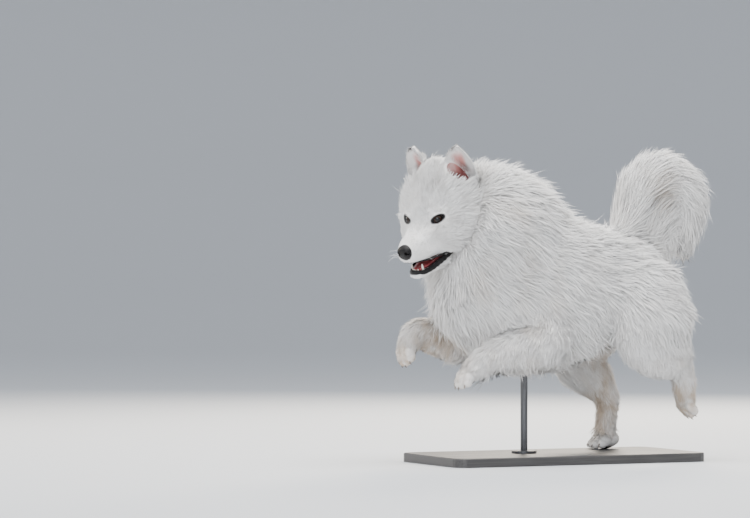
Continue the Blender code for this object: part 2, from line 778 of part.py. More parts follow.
def lie_fringe(spot, normal):
    return Vector((-0.55, math.copysign(0.12, spot.y), -0.85))


def lie_neck(spot, normal):
    away = (spot - (HEAD_AT + Vector((-0.02, 0.0, 0.02)))).normalized()
    return away * 0.8 + Vector((-0.30, 0.0, -0.50))


def lie_cheek(spot, normal):
    nose = head_matrix() @ Vector((0.09, 0.0, 0.02))
    return (spot - nose).normalized() + Vector((-0.1, 0.0, -0.35))


def lie_tail(spot, normal):
    index = min(range(len(TAIL) - 1), key=lambda at: (Vector(TAIL[at][:3]) - spot).length)
    along = (Vector(TAIL[index + 1][:3]) - Vector(TAIL[index][:3])).normalized()
    return along + normal * 0.25 + Vector((-0.10, 0.0, -0.25))


def lie_thigh(spot, normal):
    return Vector((-0.45, 0.0, -0.90))


def lie_foreleg(spot, normal):
    return Vector((-0.78, 0.0, -0.62))


def on_cheek(spot, normal):
    """Whether a spot lies on the fluffed sides of the head, behind the eyes and below the ears."""
    ahead, left, high = head_matrix().inverted() @ spot
    return ahead < -0.035 and high < 0.045 and abs(left) > 0.045 or ahead < -0.105


def lock_zone(where, lie, length, width, lift, hug=0.9, thick=0.008, sink=0.011, apart=0.55):
    return {"where": where, "lie": lie, "length": length, "width": width,
            "lift": lift, "hug": hug, "thick": thick, "sink": sink, "apart": apart}


def grow_coat(nodes):
    """The long coat: locks on the body, the tail and the upper legs. Fur that lies short has none."""
    dice = random.Random(20)
    named = {node.name: node for node in nodes}
    standing = []
    for name, under, zones in (
        ("tail", (), [lock_zone(lambda p, n: p.z > 0.46, lie_tail, 0.110, 0.034, TAIL_COAT + 0.012, 0.55)]),
        ("hindleg_left", (), [lock_zone(lambda p, n: p.z > 0.215 and n.x < 0.6, lie_thigh, 0.100, 0.047,
                                        THIGH_COAT, 0.8, apart=0.62)]),
        ("hindleg_right", (), [lock_zone(lambda p, n: p.z > 0.185 and n.x < 0.6, lie_thigh, 0.100, 0.049,
                                         THIGH_COAT, 0.8, apart=0.65)]),
        ("foreleg_left", (), [lock_zone(lambda p, n: p.x < 0.21 and n.z < 0.1, lie_foreleg, 0.080, 0.038,
                                        0.013, 0.6, 0.005, 0.006, 0.65)]),
        ("foreleg_right", (), [lock_zone(lambda p, n: p.x < 0.29 and n.z < 0.1, lie_foreleg, 0.080, 0.038,
                                         0.013, 0.6, 0.005, 0.006, 0.65)]),
        ("torso", ("hindleg_left", "hindleg_right"),
         [lock_zone(lambda p, n: n.z > -0.6, lie_torso, 0.140, 0.060, TORSO_COAT, apart=0.65),
          lock_zone(lambda p, n: n.z < -0.5 and -0.12 < p.x < 0.2, lie_fringe, 0.080, 0.042, TORSO_COAT, 0.25)]),
        ("head", ("neck",), [lock_zone(on_cheek, lie_cheek, 0.075, 0.034, HEAD_COAT + 0.010, 0.7, 0.006, 0.008)]),
        ("neck", ("torso",), [lock_zone(lambda p, n: True, lie_neck, 0.125, 0.052, NECK_COAT, apart=0.6)]),
    ):
        bed = [named[name], *[named[other] for other in under]]
        grow_locks(named[name], zones, nodes, bed, standing, dice)


# The display stand.


def turned(name, profile, centre, sides):
    """A round piece about a vertical axis, from pairs of radius and height, bottom to top."""
    rings = [
        [Vector((centre[0] + radius * math.cos(2 * math.pi * step / sides),
                 centre[1] + radius * math.sin(2 * math.pi * step / sides), height))
         for step in range(sides)]
        for radius, height in profile
    ]
    return skin_rings(name, rings)


def make_stand():
    shape = bmesh.new()
    bmesh.ops.create_cube(shape, size=1.0)
    size = Matrix.Diagonal((BASE_LENGTH, BASE_WIDTH, BASE_HEIGHT, 1.0))
    lift = Matrix.Translation((0.0, 0.0, BASE_HEIGHT / 2))
    bmesh.ops.transform(shape, matrix=lift @ size, verts=shape.verts)
    upright = [edge for edge in shape.edges if abs(edge.verts[0].co.z - edge.verts[1].co.z) > GAP]
    bmesh.ops.bevel(shape, geom=upright, offset=BASE_CORNER, segments=5, affect="EDGES", profile=0.5)
    top = [edge for edge in shape.edges if all(vert.co.z > BASE_HEIGHT - GAP for vert in edge.verts)]
    bmesh.ops.bevel(shape, geom=top, offset=BASE_EDGE, segments=1, affect="EDGES", profile=0.5)
    base = object_of("stand_base", shape)
    profile = ((FLANGE_RADIUS, BASE_HEIGHT + GAP), (FLANGE_RADIUS, BASE_HEIGHT + FLANGE_HEIGHT),
               (ROD_RADIUS, BASE_HEIGHT + FLANGE_HEIGHT + 0.001), (ROD_RADIUS, ROD_TOP))
    return base, turned("stand_rod", profile, (ROD_X, 0.0), 20)


def main():
    clear_scene()
    coat = material("coat", (0.86, 0.84, 0.80), 0.75)
    black = material("nose_leather", (0.02, 0.02, 0.022), 0.35)
    iris = material("eye", (0.03, 0.015, 0.01), 0.08)
    flesh = material("tongue", (0.45, 0.12, 0.13), 0.4)
    ivory = material("tooth", (0.82, 0.78, 0.66), 0.3)
    steel = material("stand_steel", (0.08, 0.08, 0.085), 0.4, 0.9)
    board = material("stand_board", (0.10, 0.10, 0.105), 0.5)

    torso, neck = make_body()
    head = make_head()
    jaw = make_jaw()
    carve(jaw, [head_flesh(GAP), *body_lofts(GAP)])
    carve(jaw, [make_teeth("teeth_bed", GAP)])
    tongue = place(loft("tongue", TONGUE, 1, 8, (0.006, 0.005)), head_matrix())
    carve(tongue, [head_flesh(GAP), make_teeth("teeth_bed", GAP), *body_lofts(GAP)])
    teeth = make_teeth()
    nose = make_nose()
    eyes = [eye_ball("eye_left", 1), eye_ball("eye_right", -1)]
    ears = []
    for name, side in (("ear_left", 1), ("ear_right", -1)):
        ear = make_ear(name, side)
        carve(ear, [head_flesh(GAP), *body_lofts(GAP)])
        ears.append(ear)
    legs = [make_leg("foreleg_left", LEFT_FORELEG, (0.03, 0.015)),
            make_leg("foreleg_right", RIGHT_FORELEG, (0.03, 0.015)),
            make_leg("hindleg_left", LEFT_HINDLEG, (0.02, 0.012),
                     [loft("thigh", LEFT_THIGH, 2, 12, (0.03, 0.028), -THIGH_COAT)]),
            make_leg("hindleg_right", RIGHT_HINDLEG, (0.03, 0.015), standing=True)]
    tail = make_tail()
    base, rod = make_stand()

    everything = [torso, neck, head, jaw, tongue, teeth, nose, *eyes, *ears, *legs, tail, base, rod]
    grow_coat(everything)

    finishes = [(coat, [torso, neck, head, jaw, tail, *ears, *legs]), (black, [nose]), (iris, eyes),
                (flesh, [tongue]), (ivory, [teeth]), (steel, [rod]), (board, [base])]
    for finish, nodes in finishes:
        for node in nodes:
            node.data.materials.clear()
            node.data.materials.append(finish)
            node.data.polygons.foreach_set("use_smooth", [False] * len(node.data.polygons))


main()
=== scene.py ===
"""A life-size Samoyed at a run, as a still display model on a plain stand.

Metres. X points forward, Y to the dog's left and Z up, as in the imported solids. One skin takes
the place of the solids of flesh, and solid tufts of hair stand on it along the coat's lie.
"""
import math

import bmesh
import bpy
import numpy as np
from mathutils import Matrix, Vector
from mathutils.bvhtree import BVHTree
from mathutils.kdtree import KDTree


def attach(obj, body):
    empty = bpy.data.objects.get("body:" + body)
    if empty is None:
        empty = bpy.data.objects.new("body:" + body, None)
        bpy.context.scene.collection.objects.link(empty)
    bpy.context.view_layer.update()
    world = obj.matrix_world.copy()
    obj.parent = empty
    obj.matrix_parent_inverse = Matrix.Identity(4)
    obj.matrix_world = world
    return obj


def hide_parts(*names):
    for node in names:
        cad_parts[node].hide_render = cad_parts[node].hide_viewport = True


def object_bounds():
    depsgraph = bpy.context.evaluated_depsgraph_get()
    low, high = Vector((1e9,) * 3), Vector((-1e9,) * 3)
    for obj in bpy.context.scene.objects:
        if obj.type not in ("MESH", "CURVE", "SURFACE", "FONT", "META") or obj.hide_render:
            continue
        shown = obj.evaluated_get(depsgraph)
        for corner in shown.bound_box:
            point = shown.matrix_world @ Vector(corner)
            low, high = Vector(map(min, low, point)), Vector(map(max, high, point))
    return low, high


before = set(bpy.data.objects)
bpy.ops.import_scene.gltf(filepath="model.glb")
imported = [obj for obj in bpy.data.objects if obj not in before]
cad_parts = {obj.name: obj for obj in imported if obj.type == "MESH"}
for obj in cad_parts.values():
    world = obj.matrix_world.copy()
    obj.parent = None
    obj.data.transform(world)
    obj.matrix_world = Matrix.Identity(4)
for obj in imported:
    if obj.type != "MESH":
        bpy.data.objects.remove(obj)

cad_low, cad_high = [[float(value) for value in corner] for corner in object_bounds()]

# The picture is taken from the dog's front left, level, with a long lens from some eight metres.
# Nothing of the camera belongs to the model.
camera_data = bpy.data.cameras.new("camera")
camera_data.lens = 172.8
camera_data.sensor_width = 36.0
camera = bpy.data.objects.new("camera", camera_data)
camera.location = (3.74145519, 7.08235414, 0.45)
camera.rotation_mode = "QUATERNION"
camera.rotation_quaternion = Vector((-0.42261826, -0.90630779, 0.0)).to_track_quat("-Z", "Y")
bpy.context.scene.collection.objects.link(camera)
bpy.context.scene.camera = camera

# The studio round the model: a pale floor that curves up into a wall, and four soft boxes. One
# hangs overhead and a cool one fills from the front. Two warm ones from behind edge the back, the
# ears and the tail, as the low sun does in the picture.
COVE = ((0.0, 0.0), (9.5, 0.0), (11.5, 0.25), (13.2, 0.95), (14.4, 2.1), (15.0, 3.8), (15.2, 8.0))
FLOOR_COLOUR = (0.62, 0.64, 0.67)
FLOOR_PALE = (0.66, 0.68, 0.70)
AIR_COLOUR = (0.74, 0.77, 0.82)
SPOKES = 96
LIT_POINT = Vector((0.0, 0.0, 0.40))


def plain_material(name, colour, roughness):
    made = bpy.data.materials.new(name)
    made.use_nodes = True
    shader = made.node_tree.nodes["Principled BSDF"]
    shader.inputs["Base Color"].default_value = (*colour, 1.0)
    shader.inputs["Roughness"].default_value = roughness
    return made, made.node_tree, shader


def object_of(name, points, faces, smooth=True):
    mesh = bpy.data.meshes.new(name)
    mesh.from_pydata([tuple(point) for point in points], [], faces)
    mesh.validate()
    mesh.polygons.foreach_set("use_smooth", [smooth] * len(mesh.polygons))
    made = bpy.data.objects.new(name, mesh)
    bpy.context.scene.collection.objects.link(made)
    return made


spokes = np.linspace(0, 2 * np.pi, SPOKES, endpoint=False)
cove_points = [(reach * math.cos(spoke), reach * math.sin(spoke), height)
               for reach, height in COVE[1:] for spoke in spokes] + [(0.0, 0.0, 0.0)]
cove_faces = [(len(cove_points) - 1, side, (side + 1) % SPOKES) for side in range(SPOKES)]
for ring in range(len(COVE) - 2):
    inner, outer = ring * SPOKES, (ring + 1) * SPOKES
    for side in range(SPOKES):
        after = (side + 1) % SPOKES
        cove_faces.append((inner + side, outer + side, outer + after, inner + after))
floor = object_of("floor", cove_points, cove_faces)
floor_material, floor_tree, floor_shader = plain_material("studio_floor", FLOOR_COLOUR, 0.85)
floor_grain = floor_tree.nodes.new("ShaderNodeTexNoise")
floor_grain.inputs["Scale"].default_value = 3.0
floor_mix = floor_tree.nodes.new("ShaderNodeMix")
floor_mix.data_type = "RGBA"
floor_mix.inputs[6].default_value = (*FLOOR_COLOUR, 1.0)
floor_mix.inputs[7].default_value = (*FLOOR_PALE, 1.0)
floor_tree.links.new(floor_grain.outputs[0], floor_mix.inputs[0])
floor_tree.links.new(floor_mix.outputs[2], floor_shader.inputs["Base Color"])
floor.data.materials.append(floor_material)

air = bpy.data.worlds.new("studio_air")
air.use_nodes = True
air.node_tree.nodes["Background"].inputs[0].default_value = (*AIR_COLOUR, 1.0)
air.node_tree.nodes["Background"].inputs[1].default_value = 1.0
bpy.context.scene.world = air

# Each soft box: its place, its width and height, its power in watts and its colour.
SOFT_BOXES = (
    ("overhead", (0.2, 0.4, 3.2), (2.4, 2.4), 180.0, (1.0, 0.99, 0.97)),
    ("front_fill", (3.4, 3.8, 2.0), (2.4, 2.0), 175.0, (0.93, 0.96, 1.0)),
    ("back_warm", (-1.7, -2.4, 2.1), (1.4, 1.4), 170.0, (1.0, 0.90, 0.76)),
    ("side_warm", (1.9, -2.6, 1.6), (1.2, 1.6), 50.0, (1.0, 0.92, 0.80)),
)
for name, place, (width, height), power, colour in SOFT_BOXES:
    lamp = bpy.data.lights.new(name, "AREA")
    lamp.shape = "RECTANGLE"
    lamp.size = width
    lamp.size_y = height
    lamp.energy = power
    lamp.color = colour
    box = bpy.data.objects.new(name, lamp)
    box.location = place
    box.rotation_mode = "QUATERNION"
    box.rotation_quaternion = (LIT_POINT - Vector(place)).to_track_quat("-Z", "Y")
    bpy.context.scene.collection.objects.link(box)

# The body under the coat: trunk, neck, breast, tail and legs, of flesh under a pink skin. Each is
# a closed limb through body sections, set in by the coat's own depth, and a fine remesh makes
# them one soft form.
TORSO_COAT = 0.020
NECK_COAT = 0.024
TAIL_COAT = 0.018
THIGH_COAT = 0.014
BODY_VOXEL = 0.006
# A section: centre x, y, z, then half sizes across, up and down, out to the coat's tips.
TORSO = (
    (-0.248, 0.0, 0.390, 0.088, 0.072, 0.090),
    (-0.200, 0.0, 0.395, 0.118, 0.108, 0.125),
    (-0.120, 0.0, 0.395, 0.128, 0.130, 0.140),
    (-0.050, 0.0, 0.395, 0.140, 0.147, 0.182),
    (0.020, 0.0, 0.402, 0.150, 0.170, 0.208),
    (0.090, 0.0, 0.402, 0.152, 0.170, 0.208),
    (0.165, 0.0, 0.395, 0.140, 0.150, 0.178),
    (0.230, 0.0, 0.385, 0.112, 0.115, 0.120),
)
NECK = (
    (0.045, 0.0, 0.474, 0.118, 0.108, 0.110),
    (0.095, 0.0, 0.497, 0.148, 0.136, 0.150),
    (0.150, 0.005, 0.515, 0.157, 0.146, 0.165),
    (0.210, 0.015, 0.538, 0.150, 0.138, 0.165),
    (0.245, 0.022, 0.550, 0.128, 0.118, 0.148),
)
BREAST_AT = (0.215, 0.008, 0.425)
BREAST = (0.088, 0.125, 0.105)
LEFT_FORELEG = (
    (0.125, 0.080, 0.370, 0.040, 0.060, 0.060),
    (0.085, 0.092, 0.320, 0.045, 0.055, 0.055),
    (0.088, 0.112, 0.276, 0.045, 0.046, 0.056),
    (0.155, 0.116, 0.256, 0.034, 0.038, 0.046),
    (0.222, 0.112, 0.234, 0.028, 0.028, 0.031),
    (0.252, 0.108, 0.210, 0.029, 0.025, 0.026),
)
RIGHT_FORELEG = (
    (0.150, -0.090, 0.360, 0.050, 0.065, 0.065),
    (0.142, -0.100, 0.305, 0.045, 0.050, 0.055),
    (0.190, -0.100, 0.281, 0.038, 0.038, 0.054),
    (0.245, -0.092, 0.286, 0.031, 0.032, 0.048),
    (0.297, -0.084, 0.290, 0.028, 0.026, 0.032),
    (0.318, -0.077, 0.268, 0.028, 0.022, 0.026),
)
LEFT_HINDLEG = (
    (-0.150, 0.104, 0.300, 0.050, 0.060, 0.060),
    (-0.185, 0.106, 0.256, 0.047, 0.060, 0.060),
    (-0.228, 0.101, 0.232, 0.040, 0.050, 0.046),
    (-0.266, 0.092, 0.212, 0.030, 0.034, 0.030),
    (-0.282, 0.084, 0.180, 0.024, 0.024, 0.024),
    (-0.290, 0.076, 0.148, 0.024, 0.022, 0.023),
)
LEFT_THIGH = (
    (-0.190, 0.070, 0.410, 0.068, 0.080, 0.090),
    (-0.185, 0.090, 0.345, 0.074, 0.098, 0.110),
    (-0.192, 0.103, 0.285, 0.062, 0.092, 0.113),
    (-0.215, 0.104, 0.240, 0.044, 0.070, 0.086),
)
RIGHT_HINDLEG = (
    (-0.200, -0.075, 0.390, 0.065, 0.090, 0.090),
    (-0.150, -0.095, 0.310, 0.062, 0.090, 0.085),
    (-0.110, -0.102, 0.230, 0.050, 0.062, 0.058),
    (-0.152, -0.099, 0.180, 0.038, 0.046, 0.044),
    (-0.183, -0.093, 0.140, 0.028, 0.026, 0.027),
    (-0.182, -0.091, 0.095, 0.023, 0.022, 0.023),
    (-0.176, -0.090, 0.058, 0.024, 0.021, 0.023),
)
TAIL = (
    (-0.160, 0.0, 0.470, 0.048, 0.040, 0.046),
    (-0.192, 0.0, 0.545, 0.056, 0.042, 0.044),
    (-0.220, 0.0, 0.602, 0.066, 0.046, 0.056),
    (-0.264, 0.0, 0.627, 0.072, 0.050, 0.068),
    (-0.310, 0.0, 0.598, 0.072, 0.046, 0.074),
    (-0.330, 0.0, 0.540, 0.056, 0.042, 0.056),
    (-0.328, 0.0, 0.480, 0.030, 0.026, 0.030),
)
TAIL_HEART_AT = (-0.250, 0.0, 0.530)
TAIL_HEART = (0.085, 0.048, 0.095)


def between(rows, steps):
    """Rows of numbers with more rows put between them on smooth curves."""
    rows = np.array(rows, float)
    padded = np.vstack([rows[:1], rows, rows[-1:]])
    made = []
    for index in range(len(rows) - 1):
        a, b, c, d = padded[index:index + 4]
        for t in np.arange(steps) / steps:
            made.append(0.5 * (2 * b + (c - a) * t + (2 * a - 5 * b + 4 * c - d) * t * t
                               + (3 * b - a - 3 * c + d) * t ** 3))
    return np.array(made + [rows[-1]])


def unit(vectors):
    vectors = np.asarray(vectors, float)
    return vectors / (np.linalg.norm(vectors, axis=-1, keepdims=True) + 1e-12)


def ring_faces(rings, sides):
    """Faces between rings of points, closed by one pole after the last ring and one after that."""
    faces = []
    for ring in range(rings - 1):
        for side in range(sides):
            after = (side + 1) % sides
            faces.append((ring * sides + side, ring * sides + after,
                          (ring + 1) * sides + after, (ring + 1) * sides + side))
    first, last = rings * sides, rings * sides + 1
    for side in range(sides):
        after = (side + 1) % sides
        faces.append((after, side, first))
        faces.append(((rings - 1) * sides + side, (rings - 1) * sides + after, last))
    return faces


def limb(name, sections, caps, grow=0.0, fullness=1.0, left=(0, 1, 0), straight=None, steps=5, sides=32):
    """A closed limb through body sections, with round ends of the lengths caps."""
    rows = between(sections, steps)
    points = rows[:, :3]
    alongs = np.vstack([points[1:2] - points[:1], points[2:] - points[:-2], points[-1:] - points[-2:-1]])
    alongs = unit(np.tile(straight, (len(rows), 1)) if straight else alongs)
    across = unit(np.array(left) - alongs * (alongs @ np.array(left, float))[:, None])
    above = np.cross(alongs, across)
    angle = 2 * np.pi * np.arange(sides) / sides
    rings = []
    for index, row in enumerate(rows):
        full = row[6] if len(row) > 6 else fullness
        wide = np.sign(np.cos(angle)) * np.abs(np.cos(angle)) ** full * (row[3] + grow)
        tall = np.sign(np.sin(angle)) * np.abs(np.sin(angle)) ** full
        tall = tall * np.where(tall > 0, row[4] + grow, row[5] + grow)
        rings.append(points[index] + wide[:, None] * across[index] + tall[:, None] * above[index])
    start, end = caps[0] + grow, caps[1] + grow
    first = []
    last = []
    for far in (0.3, 0.6, 0.85, 0.97):
        shrink = math.sqrt(1 - far * far)
        first.append(points[0] + (rings[0] - points[0]) * shrink - alongs[0] * start * far)
        last.append(points[-1] + (rings[-1] - points[-1]) * shrink + alongs[-1] * end * far)
    rings = first[::-1] + rings + last
    poles = [points[0] - alongs[0] * start, points[-1] + alongs[-1] * end]
    return outward(object_of(name, np.vstack([*rings, *poles]), ring_faces(len(rings), sides)))


def outward(made):
    """A closed shape with all its faces turned outwards."""
    shape = bmesh.new()
    shape.from_mesh(made.data)
    bmesh.ops.recalc_face_normals(shape, faces=shape.faces)
    shape.to_mesh(made.data)
    shape.free()
    return made


def ball(name, centre, radii, around=24, up=16):
    shape = bmesh.new()
    bmesh.ops.create_uvsphere(shape, u_segments=around, v_segments=up, radius=1.0)
    sized = Matrix.Translation(centre) @ Matrix.Diagonal((*radii, 1.0))
    bmesh.ops.transform(shape, matrix=sized, verts=shape.verts)
    mesh = bpy.data.meshes.new(name)
    shape.to_mesh(mesh)
    shape.free()
    made = bpy.data.objects.new(name, mesh)
    bpy.context.scene.collection.objects.link(made)
    return made


def placed(made, matrix):
    made.data.transform(matrix)
    if matrix.determinant() < 0:
        made.data.flip_normals()
    return made


def evaluated(made):
    """An object with its modifiers turned into its own mesh."""
    graph = bpy.context.evaluated_depsgraph_get()
    mesh = bpy.data.meshes.new_from_object(made.evaluated_get(graph))
    made.modifiers.clear()
    made.data = mesh
    return made


def remeshed(pieces, voxel, rounds):
    """Closed pieces made one smooth closed form."""
    whole = bmesh.new()
    for piece in pieces:
        whole.from_mesh(piece.data)
        if piece is not pieces[0]:
            bpy.data.objects.remove(piece)
    whole.to_mesh(pieces[0].data)
    whole.free()
    remesh = pieces[0].modifiers.new("remesh", "REMESH")
    remesh.mode = "VOXEL"
    remesh.voxel_size = voxel
    smooth = pieces[0].modifiers.new("smooth", "SMOOTH")
    smooth.factor = 0.5
    smooth.iterations = rounds
    return evaluated(pieces[0])


def in_one_order(made):
    """The same mesh with its faces sorted, because a boolean lists them in another order each time."""
    faces = []
    for polygon in made.data.polygons:
        corners = list(polygon.vertices)
        first = corners.index(min(corners))
        faces.append((corners[first:] + corners[:first], polygon.use_smooth))
    faces.sort()
    points = [vertex.co[:] for vertex in made.data.vertices]
    mesh = bpy.data.meshes.new(made.data.name)
    mesh.from_pydata(points, [], [corners for corners, smooth in faces])
    mesh.polygons.foreach_set("use_smooth", [smooth for corners, smooth in faces])
    mesh.update()
    made.data = mesh
    return made


def carved(made, others, operation="DIFFERENCE"):
    """Other closed shapes cut from an object, or joined to it."""
    group = bpy.data.collections.new("pieces")
    bpy.context.scene.collection.children.link(group)
    for other in others:
        group.objects.link(other)
    boolean = made.modifiers.new("boolean", "BOOLEAN")
    boolean.operation = operation
    boolean.operand_type = "COLLECTION"
    boolean.collection = group
    boolean.solver = "MANIFOLD"
    in_one_order(evaluated(made))
    for other in others:
        bpy.data.objects.remove(other)
    bpy.data.collections.remove(group)
    return made


def grown(radii, grow):
    return tuple(radius + grow for radius in radii)


body_forms = {
    "torso": [limb("skin", TORSO, (0.045, 0.070), -TORSO_COAT, 0.92, straight=(1, 0, 0))],
    "neck": [limb("neck_form", NECK, (0.050, 0.030), -NECK_COAT, 0.95),
             ball("breast_form", BREAST_AT, grown(BREAST, -NECK_COAT))],
    "tail": [limb("tail_form", TAIL, (0.02, 0.035), -TAIL_COAT),
             ball("tail_heart_form", TAIL_HEART_AT, grown(TAIL_HEART, -TAIL_COAT))],
    "thigh": [limb("left_thigh_form", LEFT_THIGH, (0.03, 0.028), -THIGH_COAT)],
    "hindleg": [limb("left_hindleg_form", LEFT_HINDLEG, (0.02, 0.012), -0.002),
                limb("right_hindleg_form", RIGHT_HINDLEG, (0.03, 0.015), -0.002)],
    "foreleg": [limb("left_foreleg_form", LEFT_FORELEG, (0.03, 0.015), -0.002),
                limb("right_foreleg_form", RIGHT_FORELEG, (0.03, 0.015), -0.002)],
}
trees = {name: [BVHTree.FromObject(form, bpy.context.evaluated_depsgraph_get()) for form in forms]
         for name, forms in body_forms.items()}
body = remeshed([form for forms in body_forms.values() for form in forms], BODY_VOXEL, 6)

# The four paws: a palm and four arched toes with grooves between them, of flesh under short hair.
# A fine remesh joins their balls. The right hind paw stands flat on the base, and the others hang
# in the air.
PAW_VOXEL = 0.0019
# Each paw: the wrist end, the way its toes point and the way its back faces.
PAWS = {
    "left_fore": ((0.256, 0.108, 0.206), (0.74, -0.08, -0.67), (0.66, 0.0, 0.75)),
    "right_fore": ((0.321, -0.076, 0.262), (0.30, 0.04, -0.95), (0.95, 0.0, 0.30)),
    "left_hind": ((-0.293, 0.074, 0.142), (-0.24, -0.08, -0.97), (0.97, 0.0, -0.2)),
    "right_hind": ((-0.188, -0.090, 0.041), (1.0, 0.0, -0.22), (0.0, 0.0, 1.0)),
}
# Each toe: its distance from the paw's middle line, its distance ahead and its turn in degrees.
TOES = ((-0.0225, 0.022, -14), (-0.0078, 0.030, -4), (0.0078, 0.030, 4), (0.0225, 0.022, 14))
# The middle and the radii of a palm, of a toe's knuckle and of its tip.
PALM = ((0.004, 0.0, 0.001), (0.028, 0.026, 0.019))
KNUCKLE = ((-0.004, 0.0, 0.003), (0.015, 0.0095, 0.0125))
TOE_TIP = ((0.008, 0.0, -0.002), (0.0115, 0.0088, 0.0100))


def aimed(at, forward, up):
    """A frame at a point: X along forward, Z as near to up as that allows."""
    ahead = Vector(forward).normalized()
    across = Vector(up).cross(ahead).normalized()
    turn = Matrix((ahead, across, ahead.cross(across))).transposed().to_4x4()
    return Matrix.Translation(at) @ turn


def toe_frames(paw_frame):
    frames = []
    for across, ahead, turn in TOES:
        fanned = Matrix.Rotation(math.radians(turn), 4, "Z")
        frames.append(paw_frame @ Matrix.Translation((ahead, across, 0.0)) @ fanned)
    return frames


paw_frames = {name: aimed(*paw) for name, paw in PAWS.items()}
paws = []
for name, paw_frame in paw_frames.items():
    forms = [placed(ball(name + "_form", *PALM), paw_frame)]
    for toe in toe_frames(paw_frame):
        forms.append(placed(ball("toe_form", *KNUCKLE, 16, 12), toe))
        forms.append(placed(ball("toe_tip_form", *TOE_TIP, 16, 12), toe))
    paws.append(remeshed(forms, PAW_VOXEL, 3))

# The head: broad skull, clear stop and tapered muzzle, with the mouth open, turned to the dog's
# left and nodding. Its skin is remeshed over one limb and the lids, swollen and hollowed where
# the face is, and then the mouth, the eyes' openings and the hollows before the ears are cut.
HEAD_AT = Vector((0.3407, 0.040, 0.538))
HEAD_TURN = math.radians(27.0)
HEAD_NOD = math.radians(24.0)
HEAD_COAT = 0.010
HEAD_VOXEL = 0.0022
JAW_VOXEL = 0.0016
# A section: distance ahead of the eyes, half width, top and bottom heights, fullness.
HEAD = (
    (-0.112, 0.084, 0.094, -0.105, 0.85),
    (-0.088, 0.099, 0.106, -0.118, 0.82),
    (-0.052, 0.101, 0.081, -0.120, 0.80),
    (-0.024, 0.087, 0.050, -0.105, 0.80),
    (0.000, 0.064, 0.021, -0.088, 0.78),
    (0.020, 0.046, -0.003, -0.081, 0.70),
    (0.045, 0.036, -0.013, -0.0765, 0.62),
    (0.070, 0.030, -0.018, -0.0725, 0.66),
    (0.086, 0.025, -0.024, -0.068, 0.80),
)
MOUTH = (
    (-0.034, 0.0, -0.086, 0.034, 0.006, 0.008),
    (-0.006, 0.0, -0.085, 0.036, 0.012, 0.014),
    (0.020, 0.0, -0.081, 0.031, 0.012, 0.014),
    (0.050, 0.0, -0.077, 0.022, 0.012, 0.014),
    (0.075, 0.0, -0.073, 0.011, 0.008, 0.014),
)
JAW = (
    (-0.045, 0.0, -0.095, 0.036, 0.010, 0.022),
    (-0.010, 0.0, -0.094, 0.037, 0.012, 0.019),
    (0.025, 0.0, -0.098, 0.031, 0.009, 0.014),
    (0.055, 0.0, -0.101, 0.023, 0.008, 0.012),
    (0.074, 0.0, -0.101, 0.016, 0.008, 0.009),
)
TONGUE = (
    (-0.015, 0.0, -0.086, 0.022, 0.003, 0.006),
    (0.020, 0.0, -0.0875, 0.022, 0.0035, 0.006),
    (0.048, 0.0, -0.090, 0.018, 0.004, 0.006),
    (0.066, 0.0, -0.0905, 0.012, 0.003, 0.006),
)
EYE_OPENING = Vector((0.0035, 0.0410, 0.0005))
EYE_OUT = Vector((0.74, 0.60, 0.30)).normalized()
EYE_RADIUS = 0.0155
EYE_DEEP = 0.0122
LID_THICK = 0.0022
EYE_LENGTH = 0.0285
EYE_HEIGHT = 0.0140
EYE_SLANT = math.radians(13.0)
# Soft swellings and hollows of the face: place ahead, aside and high, reach and height.
FACE_FORMS = (
    (0.004, 0.026, 0.024, 0.014, 0.0030),
    (-0.010, 0.050, 0.016, 0.016, 0.0022),
    (0.018, 0.030, -0.012, 0.012, -0.0022),
    (0.060, 0.024, -0.058, 0.014, 0.0030),
    (0.078, 0.014, -0.052, 0.010, 0.0018),
    (0.030, 0.034, -0.040, 0.014, -0.0016),
    (-0.010, 0.066, -0.040, 0.024, 0.0035),
    (-0.020, 0.000, 0.050, 0.012, -0.0026),
    (0.010, 0.000, 0.014, 0.012, -0.0018),
)
head_frame = (Matrix.Translation(HEAD_AT) @ Matrix.Rotation(HEAD_TURN, 4, "Z")
              @ Matrix.Rotation(HEAD_NOD, 4, "Y"))
head_turn = np.array(head_frame.to_3x3())


def in_head(points):
    """World points as distances ahead, to the left and up in the head's own frame."""
    return (np.asarray(points) - np.array(HEAD_AT)) @ head_turn


def from_head(points):
    return np.asarray(points) @ head_turn.T + np.array(HEAD_AT)


def either_side(point, side):
    """A point on the dog's left for side 1, and its mirror image on the right for side -1."""
    return Vector((point[0], point[1] * side, point[2]))


def seen_from(frame_there, points):
    """World points as distances along another frame's axes."""
    flat = np.hstack([points, np.ones((len(points), 1))])
    return (flat @ np.array(frame_there.inverted()).T)[:, :3]


def eye_frame(side):
    """A frame on the eye's opening: X out of the eye, Y along the opening and Z to its upper lid."""
    frame_there = aimed(either_side(EYE_OPENING, side), either_side(EYE_OUT, side), Vector((0, 0, 1)))
    return head_frame @ frame_there @ Matrix.Rotation(EYE_SLANT * side, 4, "X")


def almond(size, count=40):
    """The lids' outline, as places along and across the opening."""
    angle = 2 * np.pi * np.arange(count) / count
    along = np.cos(angle) * EYE_LENGTH / 2
    across = np.sign(np.sin(angle)) * np.abs(np.sin(angle)) ** 1.25 * EYE_HEIGHT / 2
    return np.stack([along * size, across * size + 0.0008 * np.cos(angle)], -1)


def vertices_of(made):
    points = np.empty(len(made.data.vertices) * 3)
    made.data.vertices.foreach_get("co", points)
    return points.reshape(-1, 3)


